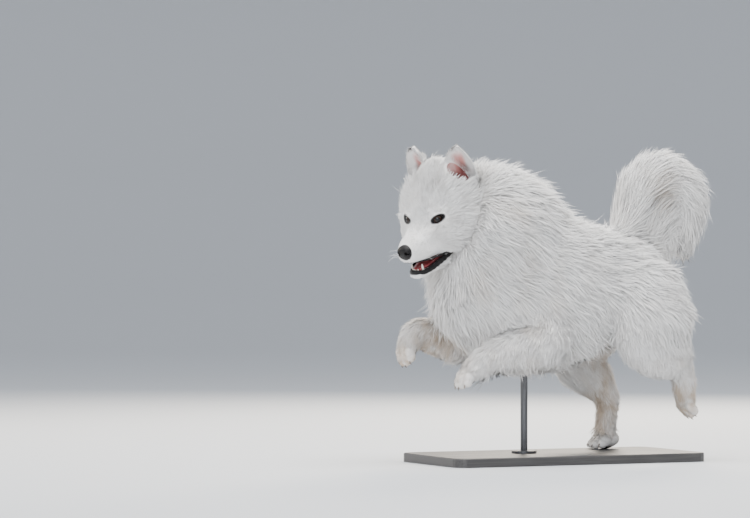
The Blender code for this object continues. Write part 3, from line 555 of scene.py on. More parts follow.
def prism(name, outline, near, far, matrix):
    """An outline drawn out between two depths."""
    rings = [[(depth, y, z) for y, z in outline] for depth in (near, far)]
    sides = len(outline)
    faces = [(a, (a + 1) % sides, (a + 1) % sides + sides, a + sides) for a in range(sides)]
    faces += [tuple(range(sides))[::-1], tuple(range(sides, 2 * sides))]
    return outward(placed(object_of(name, rings[0] + rings[1], faces), matrix))


head_sections = []
for ahead, half, top, bottom, full in HEAD:
    coat = HEAD_COAT * min(max(-ahead / 0.04, 0.0), 1.0)
    middle = bottom + (top - bottom) * 0.45
    above, below = top - middle - coat * 0.5, middle - bottom - coat
    head_sections.append((ahead, 0.0, middle, half - coat, above, below, full))
HOLLOW_AT = (0.015, 0.0, 0.034)
HOLLOW = (0.019, 0.025, 0.036)
EAR_HEIGHT = 0.088
EAR_HALF = 0.040
EAR_THICK = 0.009
EAR_BOW = 0.021
EAR_AT = Vector((-0.099, 0.053, 0.044))
EAR_LEAN = math.radians(4.0)
EAR_TOE_OUT = math.radians(14.0)


def ear_frame(side):
    toe_out = Matrix.Rotation(EAR_TOE_OUT * side, 4, "Z")
    lean = Matrix.Rotation(-EAR_LEAN * side, 4, "X")
    return head_frame @ Matrix.Translation(either_side(EAR_AT, side)) @ toe_out @ lean


def ear_hollow(side):
    """The hollow in front of an ear, into which its cup opens."""
    return placed(ball("hollow_form", HOLLOW_AT, HOLLOW, 32, 20), ear_frame(side))


skull = limb("head_form", head_sections, (0.030, 0.010), -0.0012, straight=(1, 0, 0), steps=6, sides=48)
skull = placed(skull, head_frame)
lids = []
for side in (1, -1):
    eye_at = either_side(EYE_OPENING - EYE_OUT * EYE_DEEP, side)
    lids.append(placed(ball("lid_form", eye_at, grown((EYE_RADIUS,) * 3, LID_THICK)), head_frame))
head = remeshed([skull, *lids], HEAD_VOXEL, 5)

points = vertices_of(head)
normals = np.array([vert.normal[:] for vert in head.data.vertices])
face_points = in_head(points)
for ahead, aside, high, reach, height in FACE_FORMS:
    for side in ((1, -1) if aside else (1,)):
        away = np.linalg.norm(face_points - np.array((ahead, aside * side, high)), axis=1)
        points += normals * (height * np.exp(-(away / reach) ** 2))[:, None]
head.data.vertices.foreach_set("co", points.ravel())
head.data.update()

mouth_form = placed(limb("mouth_form", MOUTH, (0.006, 0.002), sides=24), head_frame)
mouth_tree = BVHTree.FromObject(mouth_form, bpy.context.evaluated_depsgraph_get())
cutters = [mouth_form]
for side in (1, -1):
    cutters.append(prism("opening_form", almond(1.10), -0.010, 0.03, eye_frame(side)))
    cutters.append(ear_hollow(side))
carved(head, cutters)
sockets = []
for side in (1, -1):
    eye_at = either_side(EYE_OPENING - EYE_OUT * EYE_DEEP, side)
    socket = ball("socket_form", eye_at, grown((EYE_RADIUS,) * 3, 0.0006), 32, 20)
    sockets.append(placed(socket, head_frame))
carved(head, sockets)

# The lower jaw is a limb of its own, with a trough cut for the tongue.
jaw = placed(limb("jaw_form", JAW, (0.010, 0.009), -0.0006, 0.88), head_frame)
jaw = remeshed([jaw], JAW_VOXEL, 2)
trough = placed(limb("trough_form", TONGUE, (0.006, 0.005), 0.0006), head_frame)
carved(jaw, [trough])

# The ears: upright cups of thin gristle with rounded tips, furred outside and bare and pink deep
# inside. Each is two bowed sheets of points, a back and a front, closed round the rim.
EAR_ROWS, EAR_COLUMNS = 26, 22


def ear_form(name, side):
    """A cupped shell, thin at its rim, as two grids joined along their border."""
    points = []
    for layer in (-0.5, 0.5):
        for row in range(EAR_ROWS):
            up = math.sin(row / (EAR_ROWS - 1) * math.pi / 2) * 0.985
            width = EAR_HALF * (1 - up ** 2.2) ** 0.68
            for column in range(EAR_COLUMNS + 1):
                across = 2 * column / EAR_COLUMNS - 1
                rim = 1 - 0.75 * max(abs(across), up) ** 4
                depth = EAR_BOW * (across * across - 0.75) * (1 - 0.5 * up) + 0.006 * up
                ahead = depth + layer * EAR_THICK * 0.75 * rim
                points.append((ahead, across * width, up * EAR_HEIGHT * 0.985))
    wide = EAR_COLUMNS + 1
    size = EAR_ROWS * wide
    faces = []
    for layer in (0, size):
        for row in range(EAR_ROWS - 1):
            for column in range(EAR_COLUMNS):
                corner = layer + row * wide + column
                faces.append((corner, corner + 1, corner + wide + 1, corner + wide))
    border = [column for column in range(EAR_COLUMNS)]
    border += [row * wide + EAR_COLUMNS for row in range(EAR_ROWS - 1)]
    border += [(EAR_ROWS - 1) * wide + column for column in range(EAR_COLUMNS, 0, -1)]
    border += [row * wide for row in range(EAR_ROWS - 1, 0, -1)]
    for here, there in zip(border, border[1:] + border[:1]):
        faces.append((here, there, there + size, here + size))
    return outward(placed(object_of(name, points, faces), ear_frame(side)))


ears = [ear_form("ear_left_form", 1), ear_form("ear_right_form", -1)]

# The skin: one hide over trunk, head, jaw, ears, legs and tail. A boolean joins all the forms,
# so that no seam shows between them, and it takes the place of the solids of flesh and fur.
for name, forms in (("head", [head]), ("jaw", [jaw]), ("ear", ears), ("paw", paws)):
    trees[name] = [BVHTree.FromObject(form, bpy.context.evaluated_depsgraph_get()) for form in forms]
skin = carved(body, [head, jaw, *ears, *paws], "UNION")
skin.name = skin.data.name = "skin"
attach(skin, "root")
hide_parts("torso", "neck", "head", "jaw", "tail", "ear_left", "ear_right",
            "foreleg_left", "foreleg_right", "hindleg_left", "hindleg_right")

# The coat's plan, drawn on the skin before any hair is made. Each point of the skin belongs by its
# distance to the body parts near it, and the hair's length, height, width, number and lie pass
# smoothly from one part to the next.
PARTS = ("torso", "neck", "tail", "thigh", "hindleg", "foreleg", "head", "jaw", "ear", "paw")
# For each part: hair length, its tips' height off the skin, tuft width and tufts on a square centimetre.
HAIR = {
    "torso": (0.048, 0.0155, 0.0021, 8.0),
    "neck": (0.058, 0.0195, 0.0021, 9.5),
    "tail": (0.080, 0.0145, 0.0021, 10.0),
    "thigh": (0.044, 0.0125, 0.0020, 10.0),
    "hindleg": (0.024, 0.0064, 0.0017, 14.0),
    "foreleg": (0.026, 0.0068, 0.0016, 15.0),
    "head": (0.024, 0.0070, 0.0015, 34.0),
    "jaw": (0.007, 0.0018, 0.0011, 40.0),
    "ear": (0.008, 0.0020, 0.0011, 50.0),
    "paw": (0.0075, 0.0015, 0.0011, 44.0),
}
BLEND = 0.010
SEED = 41
HAIR_SINK = 0.0016
# Cream and tan shades of the coat: middle, reach along x, y and z, and strength.
CREAM = (
    ((0.255, -0.085, 0.275), (0.075, 0.040, 0.035), 0.75),
    ((0.325, -0.075, 0.225), (0.030, 0.030, 0.035), 0.70),
    ((0.215, -0.060, 0.315), (0.050, 0.060, 0.030), 0.55),
    ((0.150, 0.100, 0.235), (0.090, 0.040, 0.022), 0.40),
    ((0.270, 0.105, 0.185), (0.030, 0.030, 0.030), 0.35),
    ((0.120, 0.125, 0.300), (0.020, 0.020, 0.028), 0.35),
    ((-0.165, -0.095, 0.130), (0.045, 0.040, 0.080), 0.85),
    ((-0.130, -0.095, 0.250), (0.050, 0.050, 0.050), 0.60),
    ((-0.290, 0.078, 0.160), (0.040, 0.035, 0.045), 0.70),
    ((-0.300, 0.070, 0.115), (0.030, 0.030, 0.030), 0.60),
    ((-0.200, 0.100, 0.235), (0.050, 0.035, 0.016), 0.45),
    ((-0.215, 0.035, 0.560), (0.018, 0.020, 0.050), 0.55),
    ((0.240, 0.080, 0.420), (0.020, 0.030, 0.060), 0.22),
    ((0.165, 0.130, 0.450), (0.018, 0.030, 0.070), 0.20),
    ((0.090, 0.120, 0.380), (0.016, 0.030, 0.070), 0.16),
    ((0.190, 0.110, 0.560), (0.022, 0.030, 0.022), 0.35),
)


def waves(points, size, seed):
    """A soft random field between about -1 and 1, with swells of about the size given."""
    draws = np.random.default_rng(seed)
    total = np.zeros(len(points))
    for _ in range(7):
        direction = unit(draws.normal(size=3)) * draws.uniform(0.6, 1.6)
        total += np.sin(points @ direction * 2 * np.pi / size + draws.uniform(0, 2 * np.pi))
    return total / 3.2


def near(points, at, reach):
    return np.exp(-(((points - np.array(at)) / np.array(reach)) ** 2).sum(1))


def cream_of(points):
    """How cream the coat is at each point, from 0 to 1."""
    total = np.zeros(len(points))
    for at, reach, strength in CREAM:
        total += strength * near(points, at, reach)
    patchy = 0.80 + 0.45 * waves(points, 0.030, 5) + 0.25 * waves(points, 0.009, 6)
    return np.clip(1.5 * total * patchy + 0.05 + 0.05 * waves(points, 0.06, 7), 0, 1)


def ear_inside(points):
    """How far each point lies inside an ear's cup (0 outside, 1 deep in the cup), and how much painted shade
    falls low in the cup.
    """
    deep = np.zeros(len(points))
    dark = np.zeros(len(points))
    for side in (1, -1):
        local = seen_from(ear_frame(side), points)
        across, up = local[:, 1] / EAR_HALF, local[:, 2] / EAR_HEIGHT
        bow = EAR_BOW * (across ** 2 - 0.75) * (1 - 0.5 * up) + 0.006 * up
        front = local[:, 0] > bow
        spot = np.exp(-((across + 0.05 * side) / 0.40) ** 4 - ((up - 0.42) / 0.36) ** 4)
        deep = np.maximum(deep, spot * front * (np.abs(local[:, 0]) < 0.03))
        # Painted shade low in the cup, towards the ear's opening.
        low = np.exp(-((across - 0.10 * side) / 0.42) ** 2 - ((up - 0.30) / 0.20) ** 2)
        dark = np.maximum(dark, low * front * (np.abs(local[:, 0]) < 0.03))
    return deep, dark


def lie_of(part, points, normals):
    """The way the hair lies on a part of the body."""
    down = 0.5 - 0.5 * normals[:, 2:3]
    if part in ("torso", "thigh"):
        lie = np.array((-1.0, 0.0, -0.10)) + down * np.array((0.55, 0.0, -0.85))
        if part == "thigh":
            lie = lie * 0.5 + np.array((-0.22, 0.0, -0.50))
        return lie
    if part == "neck":
        return unit(points - np.array(HEAD_AT)) * 0.8 + np.array((-0.30, 0.0, -0.50))
    if part == "tail":
        middle = np.array([row[:3] for row in between(TAIL, 4)])
        nearest = np.argmin(((points[:, None] - middle[None]) ** 2).sum(-1), axis=1)
        after = np.minimum(nearest + 1, len(middle) - 1)
        along = unit(middle[after] - middle[np.maximum(after - 2, 0)])
        return along + normals * 0.2 + np.array((-0.12, 0.0, -0.25))
    if part == "hindleg":
        return np.tile((-0.35, 0.0, -0.94), (len(points), 1))
    if part == "foreleg":
        lie = np.where(points[:, 1:2] > 0, (0.50, 0.0, -0.86), (0.72, 0.0, -0.50)) * 0.6
        return lie + np.array((-0.1, 0, -0.5)) * down
    if part in ("head", "jaw"):
        local = in_head(points)
        away = unit(local - np.array((0.085, 0.0, -0.035)))
        return (away + np.array((-0.25, 0.0, -0.12))) @ head_turn.T
    if part == "ear":
        upward = np.array(head_frame.to_3x3() @ Vector((0.0, 0.0, 1.0)))
        return np.tile(upward, (len(points), 1))
    lie = np.empty_like(points)
    middles = np.array([(frame_at @ Vector((0.01, 0, 0)))[:] for frame_at in paw_frames.values()])
    nearest = np.argmin(((points[:, None] - middles[None]) ** 2).sum(-1), axis=1)
    for index, frame_at in enumerate(paw_frames.values()):
        lie[nearest == index] = np.array(frame_at.to_3x3() @ Vector((1.0, 0.0, -0.35)))
    return lie


skin_points = vertices_of(skin)
skin_normals = np.array([vert.normal[:] for vert in skin.data.vertices])
distances = np.empty((len(PARTS), len(skin_points)))
for index, part in enumerate(PARTS):
    away = [[tree.find_nearest(point)[3] for point in skin_points] for tree in trees[part]]
    distances[index] = np.min(away, axis=0)
weights = np.exp(-(distances - distances.min(0)) / (BLEND * 0.5))
weights /= weights.sum(0)
owner = distances.argmin(0)
hair = np.array([HAIR[part] for part in PARTS])
plan = weights.T @ hair
lies = np.zeros_like(skin_points)
for index, part in enumerate(PARTS):
    lies += weights[index][:, None] * unit(lie_of(part, skin_points, skin_normals))

# The face's hair is shortest on the muzzle and round the eyes, and grows longer towards the ruff.
face = in_head(skin_points)
head_share = weights[PARTS.index("head")] + weights[PARTS.index("jaw")]
back = np.clip((0.050 - face[:, 0]) / 0.145, 0, 1) ** 1.15
face_length = 0.0050 + 0.032 * back
plan[:, 0] += head_share * (face_length - plan[:, 0])
plan[:, 1] += head_share * (0.0014 + 0.0140 * back - plan[:, 1])
plan[:, 2] += head_share * (0.0011 + 0.0009 * back - plan[:, 2])
plan[:, 3] += head_share * (55.0 - 35.0 * back ** 0.5 - plan[:, 3])
for side in (1, -1):
    eye_gap = np.linalg.norm(face - np.array(either_side(EYE_OPENING, side)), axis=1)
    plan[:, :2] *= (1 - 0.55 * head_share * np.exp(-(eye_gap / 0.026) ** 4))[:, None]
# In front of the ears it is short again, so that their cups stay open.
to_ear = np.clip((distances[PARTS.index("ear")] - 0.004) / 0.040, 0, 1)
before_ear = head_share * np.clip((face[:, 0] + 0.106) / 0.02, 0, 1) * (face[:, 2] > 0.02)
plan[:, :2] *= (1 - before_ear * (1 - to_ear) * 0.86)[:, None]

# Longer feathering hangs behind the forelegs and under the belly, and the breeches stand out.
under = np.clip(-skin_normals[:, 2], 0, 1)
behind = np.clip(-skin_normals[:, 0] * 0.7 - skin_normals[:, 2] * 0.7, 0, 1)
on_leg = weights[PARTS.index("foreleg")] * (skin_points[:, 0] < 0.235)
plan[:, 0] += on_leg * behind * 0.036
plan[:, 1] += on_leg * behind * 0.012
plan[:, 0] += weights[PARTS.index("torso")] * under * 0.026
plan[:, 0] += weights[PARTS.index("thigh")] * behind * 0.018
lies += (weights[PARTS.index("foreleg")] * behind)[:, None] * np.array((-0.7, 0.0, -0.6))

inside_ear, ear_shade_mask = ear_inside(skin_points)
on_ear = weights[PARTS.index("ear")]
in_hollow = np.zeros(len(skin_points))
for side in (1, -1):
    local = seen_from(ear_frame(side), skin_points)
    depth = (((local - np.array(HOLLOW_AT)) / np.array(HOLLOW)) ** 2).sum(1)
    here = depth < 1.06
    in_hollow = np.maximum(in_hollow, here)
    # Painted shade: the hollow before each ear darkens towards its bottom.
    ear_shade_mask = np.maximum(ear_shade_mask, here * np.clip((0.034 - local[:, 2]) / 0.016, 0, 0.9))
on_ear = np.maximum(on_ear, in_hollow)
inside_ear *= on_ear
ear_shade_mask *= np.maximum(on_ear, in_hollow)
inside_ear = np.maximum(inside_ear, in_hollow * (0.72 + 0.14 * waves(skin_points, 0.008, 51)))
plan[:, 3] *= 1 - 0.95 * np.clip(inside_ear * 1.6, 0, 1)

# No hair grows on the lips, in the mouth, on the eyes' rims, on the nose or on the pads.
bare = np.zeros(len(skin_points), bool)
muzzle_side = (np.abs(face[:, 1]) < 0.050) & (face[:, 0] > -0.030) & (face[:, 0] < 0.090)
bare |= muzzle_side & (np.abs(face[:, 2] + 0.0830) < 0.0105) & (head_share > 0.5)
bare |= np.linalg.norm(face - np.array((0.094, 0.0, -0.040)), axis=1) < 0.0165
for side in (1, -1):
    eye_local = seen_from(eye_frame(side), skin_points)
    opening = (eye_local[:, 1] / (EYE_LENGTH * 0.60)) ** 2 + (eye_local[:, 2] / (EYE_HEIGHT * 0.70)) ** 2
    bare |= (opening < 1) & (np.abs(eye_local[:, 0]) < 0.02)
for frame_at in paw_frames.values():
    sole = np.array(frame_at.to_3x3() @ Vector((0, 0, -1)))
    close = np.linalg.norm(skin_points - np.array(frame_at @ Vector((0.012, 0, -0.004))), axis=1) < 0.042
    bare |= close & (skin_normals @ sole > 0.72)
plan[bare, 3] = 0.0


def mesh_of(name, points, faces, smooth=True):
    """An object from arrays of points and of triangles."""
    mesh = bpy.data.meshes.new(name)
    mesh.vertices.add(len(points))
    mesh.vertices.foreach_set("co", np.asarray(points, np.float32).ravel())
    mesh.loops.add(faces.size)
    mesh.loops.foreach_set("vertex_index", faces.astype(np.int32).ravel())
    mesh.polygons.add(len(faces))
    mesh.polygons.foreach_set("loop_start", np.arange(0, faces.size, 3, dtype=np.int32))
    mesh.update(calc_edges=True)
    mesh.polygons.foreach_set("use_smooth", [smooth] * len(faces))
    made = bpy.data.objects.new(name, mesh)
    bpy.context.scene.collection.objects.link(made)
    return made


def marked(made, **values):
    """Named numbers stored on an object's points, for its material to read."""
    for name, numbers in values.items():
        layer = made.data.attributes.new(name, "FLOAT", "POINT")
        layer.data.foreach_set("value", np.asarray(numbers, np.float32))


# Bare skin is black round the mouth, the eyes and the nose, and dark pink where it lines the mouth.
mouth_away = np.array([mouth_tree.find_nearest(point)[3] for point in skin_points])
by_mouth = (mouth_away < 0.0036) & (face[:, 0] < 0.086) & (face[:, 0] > -0.020)
by_mouth &= (np.abs(face[:, 1]) < 0.048) & (face[:, 2] < -0.0655)
lining = ((mouth_away < 0.0009) & (face[:, 0] < 0.088) & (np.abs(face[:, 1]) < 0.045)).astype(float)
jaw_top = (np.abs(face[:, 1]) < 0.031) & (face[:, 0] < 0.076) & (face[:, 0] > -0.05)
jaw_top &= (np.abs(face[:, 2] + 0.090) < 0.0075) & (skin_normals @ head_turn[:, 2] > 0.3)
lining = np.maximum(lining, jaw_top)
leather = np.where(by_mouth & (lining < 0.5), 1.0, 0.0)
for side in (1, -1):
    eye_local = seen_from(eye_frame(side), skin_points)
    opening = (eye_local[:, 1] / (EYE_LENGTH * 0.60)) ** 2 + (eye_local[:, 2] / (EYE_HEIGHT * 0.66)) ** 2
    leather = np.maximum(leather, np.clip((1.25 - opening) * 4, 0, 1) * (np.abs(eye_local[:, 0]) < 0.02))
behind_nose = np.linalg.norm(face - np.array((0.094, 0.0, -0.0405)), axis=1) < 0.0180
leather = np.maximum(leather, behind_nose)
# The skin under the coat takes part of the painted root shade through its fixed tip number, as the tufts'
# roots do.
marked(skin, lining=lining, leather=leather, cream=cream_of(skin_points),
       inner_ear=inside_ear, ear_deep=ear_shade_mask,
       tone=np.full(len(skin_points), 0.35), tip=np.full(len(skin_points), 0.25))

# Each hair's root is a random spot on one of the skin's triangles.
skin.data.calc_loop_triangles()
triangles = np.empty(len(skin.data.loop_triangles) * 3, np.int32)
skin.data.loop_triangles.foreach_get("vertices", triangles)
triangles = triangles.reshape(-1, 3)
corners = skin_points[triangles]
areas = np.linalg.norm(np.cross(corners[:, 1] - corners[:, 0], corners[:, 2] - corners[:, 0]), axis=1) / 2
expected = areas * 1e4 * plan[triangles, 3].mean(1)
dice = np.random.default_rng(SEED)
counts = np.floor(expected + dice.random(len(expected))).astype(int)
chosen = np.repeat(np.arange(len(triangles)), counts)
shares = dice.random((len(chosen), 2))
shares = np.where(shares.sum(1, keepdims=True) > 1, 1 - shares, shares)
shares = np.column_stack([1 - shares.sum(1), shares])


def at_roots(values):
    picked = values[triangles[triangles_of_roots]]
    return np.einsum("ij,ij...->i...", shares, picked)


triangles_of_roots = chosen
roots = at_roots(skin_points)
root_normals = unit(at_roots(skin_normals))
root_plan = at_roots(plan)
root_lies = at_roots(lies)
root_owner = owner[triangles[chosen, 0]]

# The lie wanders a little, as brushed hair does, and hairs gather into small clumps at their tips.
swing = 0.30 * waves(roots, 0.11, 21) + 0.17 * waves(roots, 0.030, 22) + 0.18 * dice.normal(size=len(roots))
root_lies = root_lies - root_normals * (root_lies * root_normals).sum(1, keepdims=True)
root_lies = unit(root_lies)
aside = np.cross(root_normals, root_lies)
root_lies = unit(root_lies + aside * swing[:, None])
lengths = root_plan[:, 0] * dice.uniform(0.72, 1.22, len(roots)) * (1 + 0.18 * waves(roots, 0.05, 23))
heights = root_plan[:, 1] * dice.uniform(0.35, 1.20, len(roots)) * (1 + 0.25 * waves(roots, 0.045, 24))
heights *= 1 + 0.42 * waves(roots, 0.015, 26)
loose = dice.random(len(roots)) < 0.10
heights[loose] *= 1.35
widths = root_plan[:, 2] * dice.uniform(0.75, 1.2, len(roots))
skin_tree = BVHTree.FromPolygons(skin_points.tolist(), triangles.tolist())
STATIONS = np.array((0.0, 0.34, 0.70, 1.0))
BEYOND_SOLIDS = 0.009
furthest = np.array((cad_low, cad_high)) + np.array(((-BEYOND_SOLIDS,) * 3, (BEYOND_SOLIDS,) * 3))

paths = np.empty((len(roots), 4, 3))
path_normals = np.empty((len(roots), 4, 3))
paths[:, 0] = roots - root_normals * HAIR_SINK
path_normals[:, 0] = root_normals
for station in range(1, 4):
    far = STATIONS[station]
    step = root_lies * (lengths * (far - STATIONS[station - 1]))[:, None]
    ahead = (roots if station == 1 else paths[:, station - 1]) + step
    found = [skin_tree.find_nearest(point) for point in ahead.tolist()]
    on_skin = np.array([hit[0][:] for hit in found])
    facing_there = np.array([hit[1][:] for hit in found])
    # Over a thin edge, such as an ear's, the hair goes straight on.
    turned = (facing_there * path_normals[:, station - 1]).sum(1) < 0.35
    turned &= root_owner == PARTS.index("ear")
    on_skin[turned] = ahead[turned]
    facing_there[turned] = path_normals[turned, station - 1]
    there = unit(0.5 * facing_there + 0.5 * path_normals[:, station - 1])
    rise = heights * (1 - (1 - far) ** 1.7)
    hugged = on_skin + there * rise[:, None]
    free = ahead + root_normals * (rise * 0.35)[:, None]
    hold = (np.where(lengths > 0.05, 0.80, 0.95) - 0.30 * loose)[:, None]
    paths[:, station] = hugged * hold + free * (1 - hold)
    # Hairs that would stand far outside the solids lie closer.
    beyond = paths[:, station] - np.clip(paths[:, station], furthest[0], furthest[1])
    paths[:, station] -= beyond * 0.7
    path_normals[:, station] = there

# Tufts that would cross an eye, hang into the mouth or an ear's cup, or lie over the nose are left
# out, and so are those on the ears' thin tips.
LIPS_AT = (0.035, 0.0, -0.080)
LIPS_REACH = (0.060, 0.052, 0.022)
MOUTH_CLEAR = 0.0045
EAR_TIP_CLEAR = 0.009
crossing = np.zeros(len(roots), bool)
stray = dice.random(len(roots)) < 0.14
for station in range(1, 4):
    spots = paths[:, station]
    spots_in_head = in_head(spots)
    near_head = np.abs(spots_in_head).max(1) < 0.16
    for side in (1, -1):
        local = seen_from(eye_frame(side), spots)
        opening = (local[:, 1] / (EYE_LENGTH * 0.58)) ** 2 + (local[:, 2] / (EYE_HEIGHT * 0.66)) ** 2
        crossing |= (opening < 1) & (np.abs(local[:, 0]) < 0.02) & near_head
    for side in (1, -1):
        local = seen_from(ear_frame(side), spots)
        depth = (((local - np.array(HOLLOW_AT)) / np.array(HOLLOW)) ** 2).sum(1)
        crossing |= (depth < 1.6) & near_head & ~stray
    crossing |= np.linalg.norm(spots_in_head - np.array((0.095, 0.0, -0.0405)), axis=1) < 0.0205
    by_lips = (np.abs(spots_in_head - np.array(LIPS_AT)) < LIPS_REACH).all(1)
    for index in np.flatnonzero(by_lips).tolist():
        place_there, way_out, _, gap = mouth_tree.find_nearest(spots[index])
        inside = way_out.dot(Vector(spots[index]) - place_there) < 0
        crossing[index] |= inside or gap < MOUTH_CLEAR
for side in (1, -1):
    tip = np.array(ear_frame(side) @ Vector((0.004, 0.0, EAR_HEIGHT)))
    crossing |= np.linalg.norm(roots - tip, axis=1) < EAR_TIP_CLEAR
kept = ~crossing
roots, root_owner = roots[kept], root_owner[kept]
lengths, widths = lengths[kept], widths[kept]
paths, path_normals = paths[kept], path_normals[kept]
triangles_of_roots, shares = chosen[kept], shares[kept]

# One tuft in fourteen leads, and the others lean their tips towards the leader nearest to them.
leaders = dice.choice(len(roots), len(roots) // 14, replace=False)
leader_tree = KDTree(len(leaders))
for index, leader in enumerate(leaders.tolist()):
    leader_tree.insert(roots[leader], index)
leader_tree.balance()
clump_of = leaders[[leader_tree.find(point)[1] for point in roots.tolist()]]
pull = np.clip(0.28 + 0.24 * waves(roots, 0.05, 25), 0.05, 0.75)
for station, share in ((1, 0.15), (2, 0.55), (3, 1.0)):
    target = paths[clump_of, station]
    gap = np.linalg.norm(target - paths[:, station], axis=1)
    hold = pull * share * (gap < 0.35 * lengths + 0.004)
    paths[:, station] += (target - paths[:, station]) * hold[:, None]

# The coat itself: long outer hair in tufts. Each tuft is a closed three-sided taper, rooted just
# under the skin. Each piece of the coat carries its own unwrap of the skin beneath it: the angle
# round the body part's middle line against the distance along it.
PATCH = 0.0030
SHORT_AND_MIDDLING = (0.0125, 0.030)
# How far light falls on a tuft as on the coat as a whole, and not as on its own round side.
SOFTNESS = 0.52
AXES = {
    "torso": [TORSO], "neck": [NECK], "tail": [TAIL], "thigh": [LEFT_THIGH],
    "hindleg": [LEFT_HINDLEG, RIGHT_HINDLEG], "foreleg": [LEFT_FORELEG, RIGHT_FORELEG],
}


def unwrapped(points, lines):
    """Places on an unwrap round middle lines: each line has its own strip of the square."""
    best = np.full(len(points), np.inf)
    across = np.zeros(len(points))
    along = np.zeros(len(points))
    for index, line in enumerate(lines):
        middle = np.array(line)
        away = ((points[:, None] - middle[None]) ** 2).sum(-1)
        nearest = away.argmin(1)
        flow = unit(np.gradient(middle, axis=0))
        side = unit(np.cross(flow, (0.11, 0.93, 0.35)))
        over = np.cross(flow, side)
        offset = points - middle[nearest]
        angle = np.arctan2((offset * over[nearest]).sum(1), (offset * side[nearest]).sum(1))
        angle = angle / (2 * np.pi) + 0.5
        run = nearest + (offset * flow[nearest]).sum(1) / np.linalg.norm(middle[1] - middle[0])
        closer = away.min(1) < best
        best = np.where(closer, away.min(1), best)
        across = np.where(closer, (index + 0.02 + 0.96 * angle) / len(lines), across)
        along = np.where(closer, (run - run.min()) / (run.max() - run.min() + 1e-9), along)
    return np.column_stack([across, 0.01 + 0.98 * along])


def tufts_of(picked, rings, lines):
    """Points, faces, places on the unwrap, and how near the tip each point is, of some tufts."""
    stops = {1: (0, 3), 2: (0, 1.6, 3), 3: (0, 1, 2, 3)}[rings]
    path = []
    for stop in stops:
        before, share = int(stop), stop % 1
        path.append(paths[picked, before] * (1 - share) + paths[picked, min(before + 1, 3)] * share)
    path = np.stack(path, 1)
    over = np.stack([path_normals[picked, round(stop)] for stop in stops], 1)
    width, count = widths[picked], len(picked)
    size = 3 * rings + 1
    points = np.empty((count, size, 3))
    facing = np.empty((count, size, 3))
    for ring in range(rings):
        flow = unit(path[:, ring + 1] - path[:, max(ring - 1, 0)])
        side = unit(np.cross(flow, over[:, ring]))
        taper = np.interp(stops[ring] / 3, (0, 0.34, 0.7, 1), (1, 0.92, 0.6, 0))
        half = (width * 0.5 * taper)[:, None]
        ridge = np.cross(side, flow)
        # Light falls on a hair that stands away from the skin as on its own round side.
        away = over[:, ring] - flow * (over[:, ring] * flow).sum(1, keepdims=True)
        for corner, offset in enumerate((side, ridge * 0.75, -side)):
            points[:, ring * 3 + corner] = path[:, ring] + offset * half
            facing[:, ring * 3 + corner] = unit(offset * (1 - SOFTNESS) + away * SOFTNESS)
    points[:, -1] = path[:, rings]
    facing[:, -1] = unit(away + 0.05 * over[:, rings])
    pattern = [(0, 1, 2)]
    for ring in range(0, 3 * rings - 3, 3):
        for side in range(3):
            a, b = ring + side, ring + (side + 1) % 3
            pattern += [(a, a + 3, b), (b, a + 3, b + 3)]
    last, tip = 3 * rings - 3, size - 1
    pattern += [(last, tip, last + 1), (last + 1, tip, last + 2), (last + 2, tip, last)]
    faces = (np.array(pattern)[None] + size * np.arange(count)[:, None, None]).reshape(-1, 3)
    tips = np.repeat(stops, [3] * rings + [1]) / 3
    corner = np.column_stack([np.tile((-1, 0, 1), rings + 1)[:size], 2 * tips - 1]) * PATCH / 2
    corner[-1, 0] = 0
    places = np.clip(unwrapped(roots[picked], lines), PATCH, 1 - PATCH)[:, None] + corner[None]
    return (points.reshape(-1, 3), faces, places.reshape(-1, 2), np.tile(tips, count),
            facing.reshape(-1, 3), np.repeat(picked, size))


def coat_piece(name, picked, lines):
    """One object of tufts: short ones are straight spikes, and longer ones bend along the body."""
    rings = np.digitize(lengths[picked], SHORT_AND_MIDDLING) + 1
    batches = [tufts_of(picked[rings == number], number, lines)
               for number in (1, 2, 3) if (rings == number).any()]
    starts = np.cumsum([0] + [len(batch[0]) for batch in batches])
    faces = np.concatenate([batch[1] + start for batch, start in zip(batches, starts)])
    points, places, tips, facing, owners = (np.concatenate([batch[index] for batch in batches])
                                            for index in (0, 2, 3, 4, 5))
    made = mesh_of(name, points, faces)
    made.data.normals_split_custom_set_from_vertices(facing.tolist())
    layer = made.data.uv_layers.new(name="OFBake")
    layer.data.foreach_set("uv", places[faces.ravel()].astype(np.float32).ravel())
    marked(made, cream=root_cream[owners], inner_ear=root_ear[owners], ear_deep=root_ear_shade[owners],
           tone=tones[owners], tip=tips)
    made.data.materials.append(coat_material)
    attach(made, "root")


tones = 0.5 + 0.12 * dice.normal(size=len(roots)) + 0.14 * waves(roots, 0.022, 31)
tones = np.clip(tones + 0.14 * dice.normal(size=len(roots))[clump_of], 0, 1)
root_cream, root_ear, root_ear_shade = cream_of(roots), at_roots(inside_ear), at_roots(ear_shade_mask)


def link(tree, start, end):
    tree.links.new(start, end)


def group_of(name, inputs, outputs):
    """A shader node group with named sockets."""
    made = bpy.data.node_groups.new(name, "ShaderNodeTree")
    for label, kind, value in inputs:
        socket = made.interface.new_socket(name=label, in_out="INPUT", socket_type=kind)
        socket.default_value = value
    for label, kind in outputs:
        made.interface.new_socket(name=label, in_out="OUTPUT", socket_type=kind)
    return made, made.nodes.new("NodeGroupInput"), made.nodes.new("NodeGroupOutput")


def noise_in(tree, scale, detail=3.0, stretch=None):
    """A noise on the object's own coordinates."""
    where = tree.nodes.new("ShaderNodeTexCoord")
    noise = tree.nodes.new("ShaderNodeTexNoise")
    noise.inputs["Scale"].default_value = scale
    noise.inputs["Detail"].default_value = detail
    if stretch:
        mapping = tree.nodes.new("ShaderNodeMapping")
        mapping.inputs["Scale"].default_value = stretch
        link(tree, where.outputs["Object"], mapping.inputs["Vector"])
        link(tree, mapping.outputs[0], noise.inputs["Vector"])
    else:
        link(tree, where.outputs["Object"], noise.inputs["Vector"])
    return noise.outputs[0]


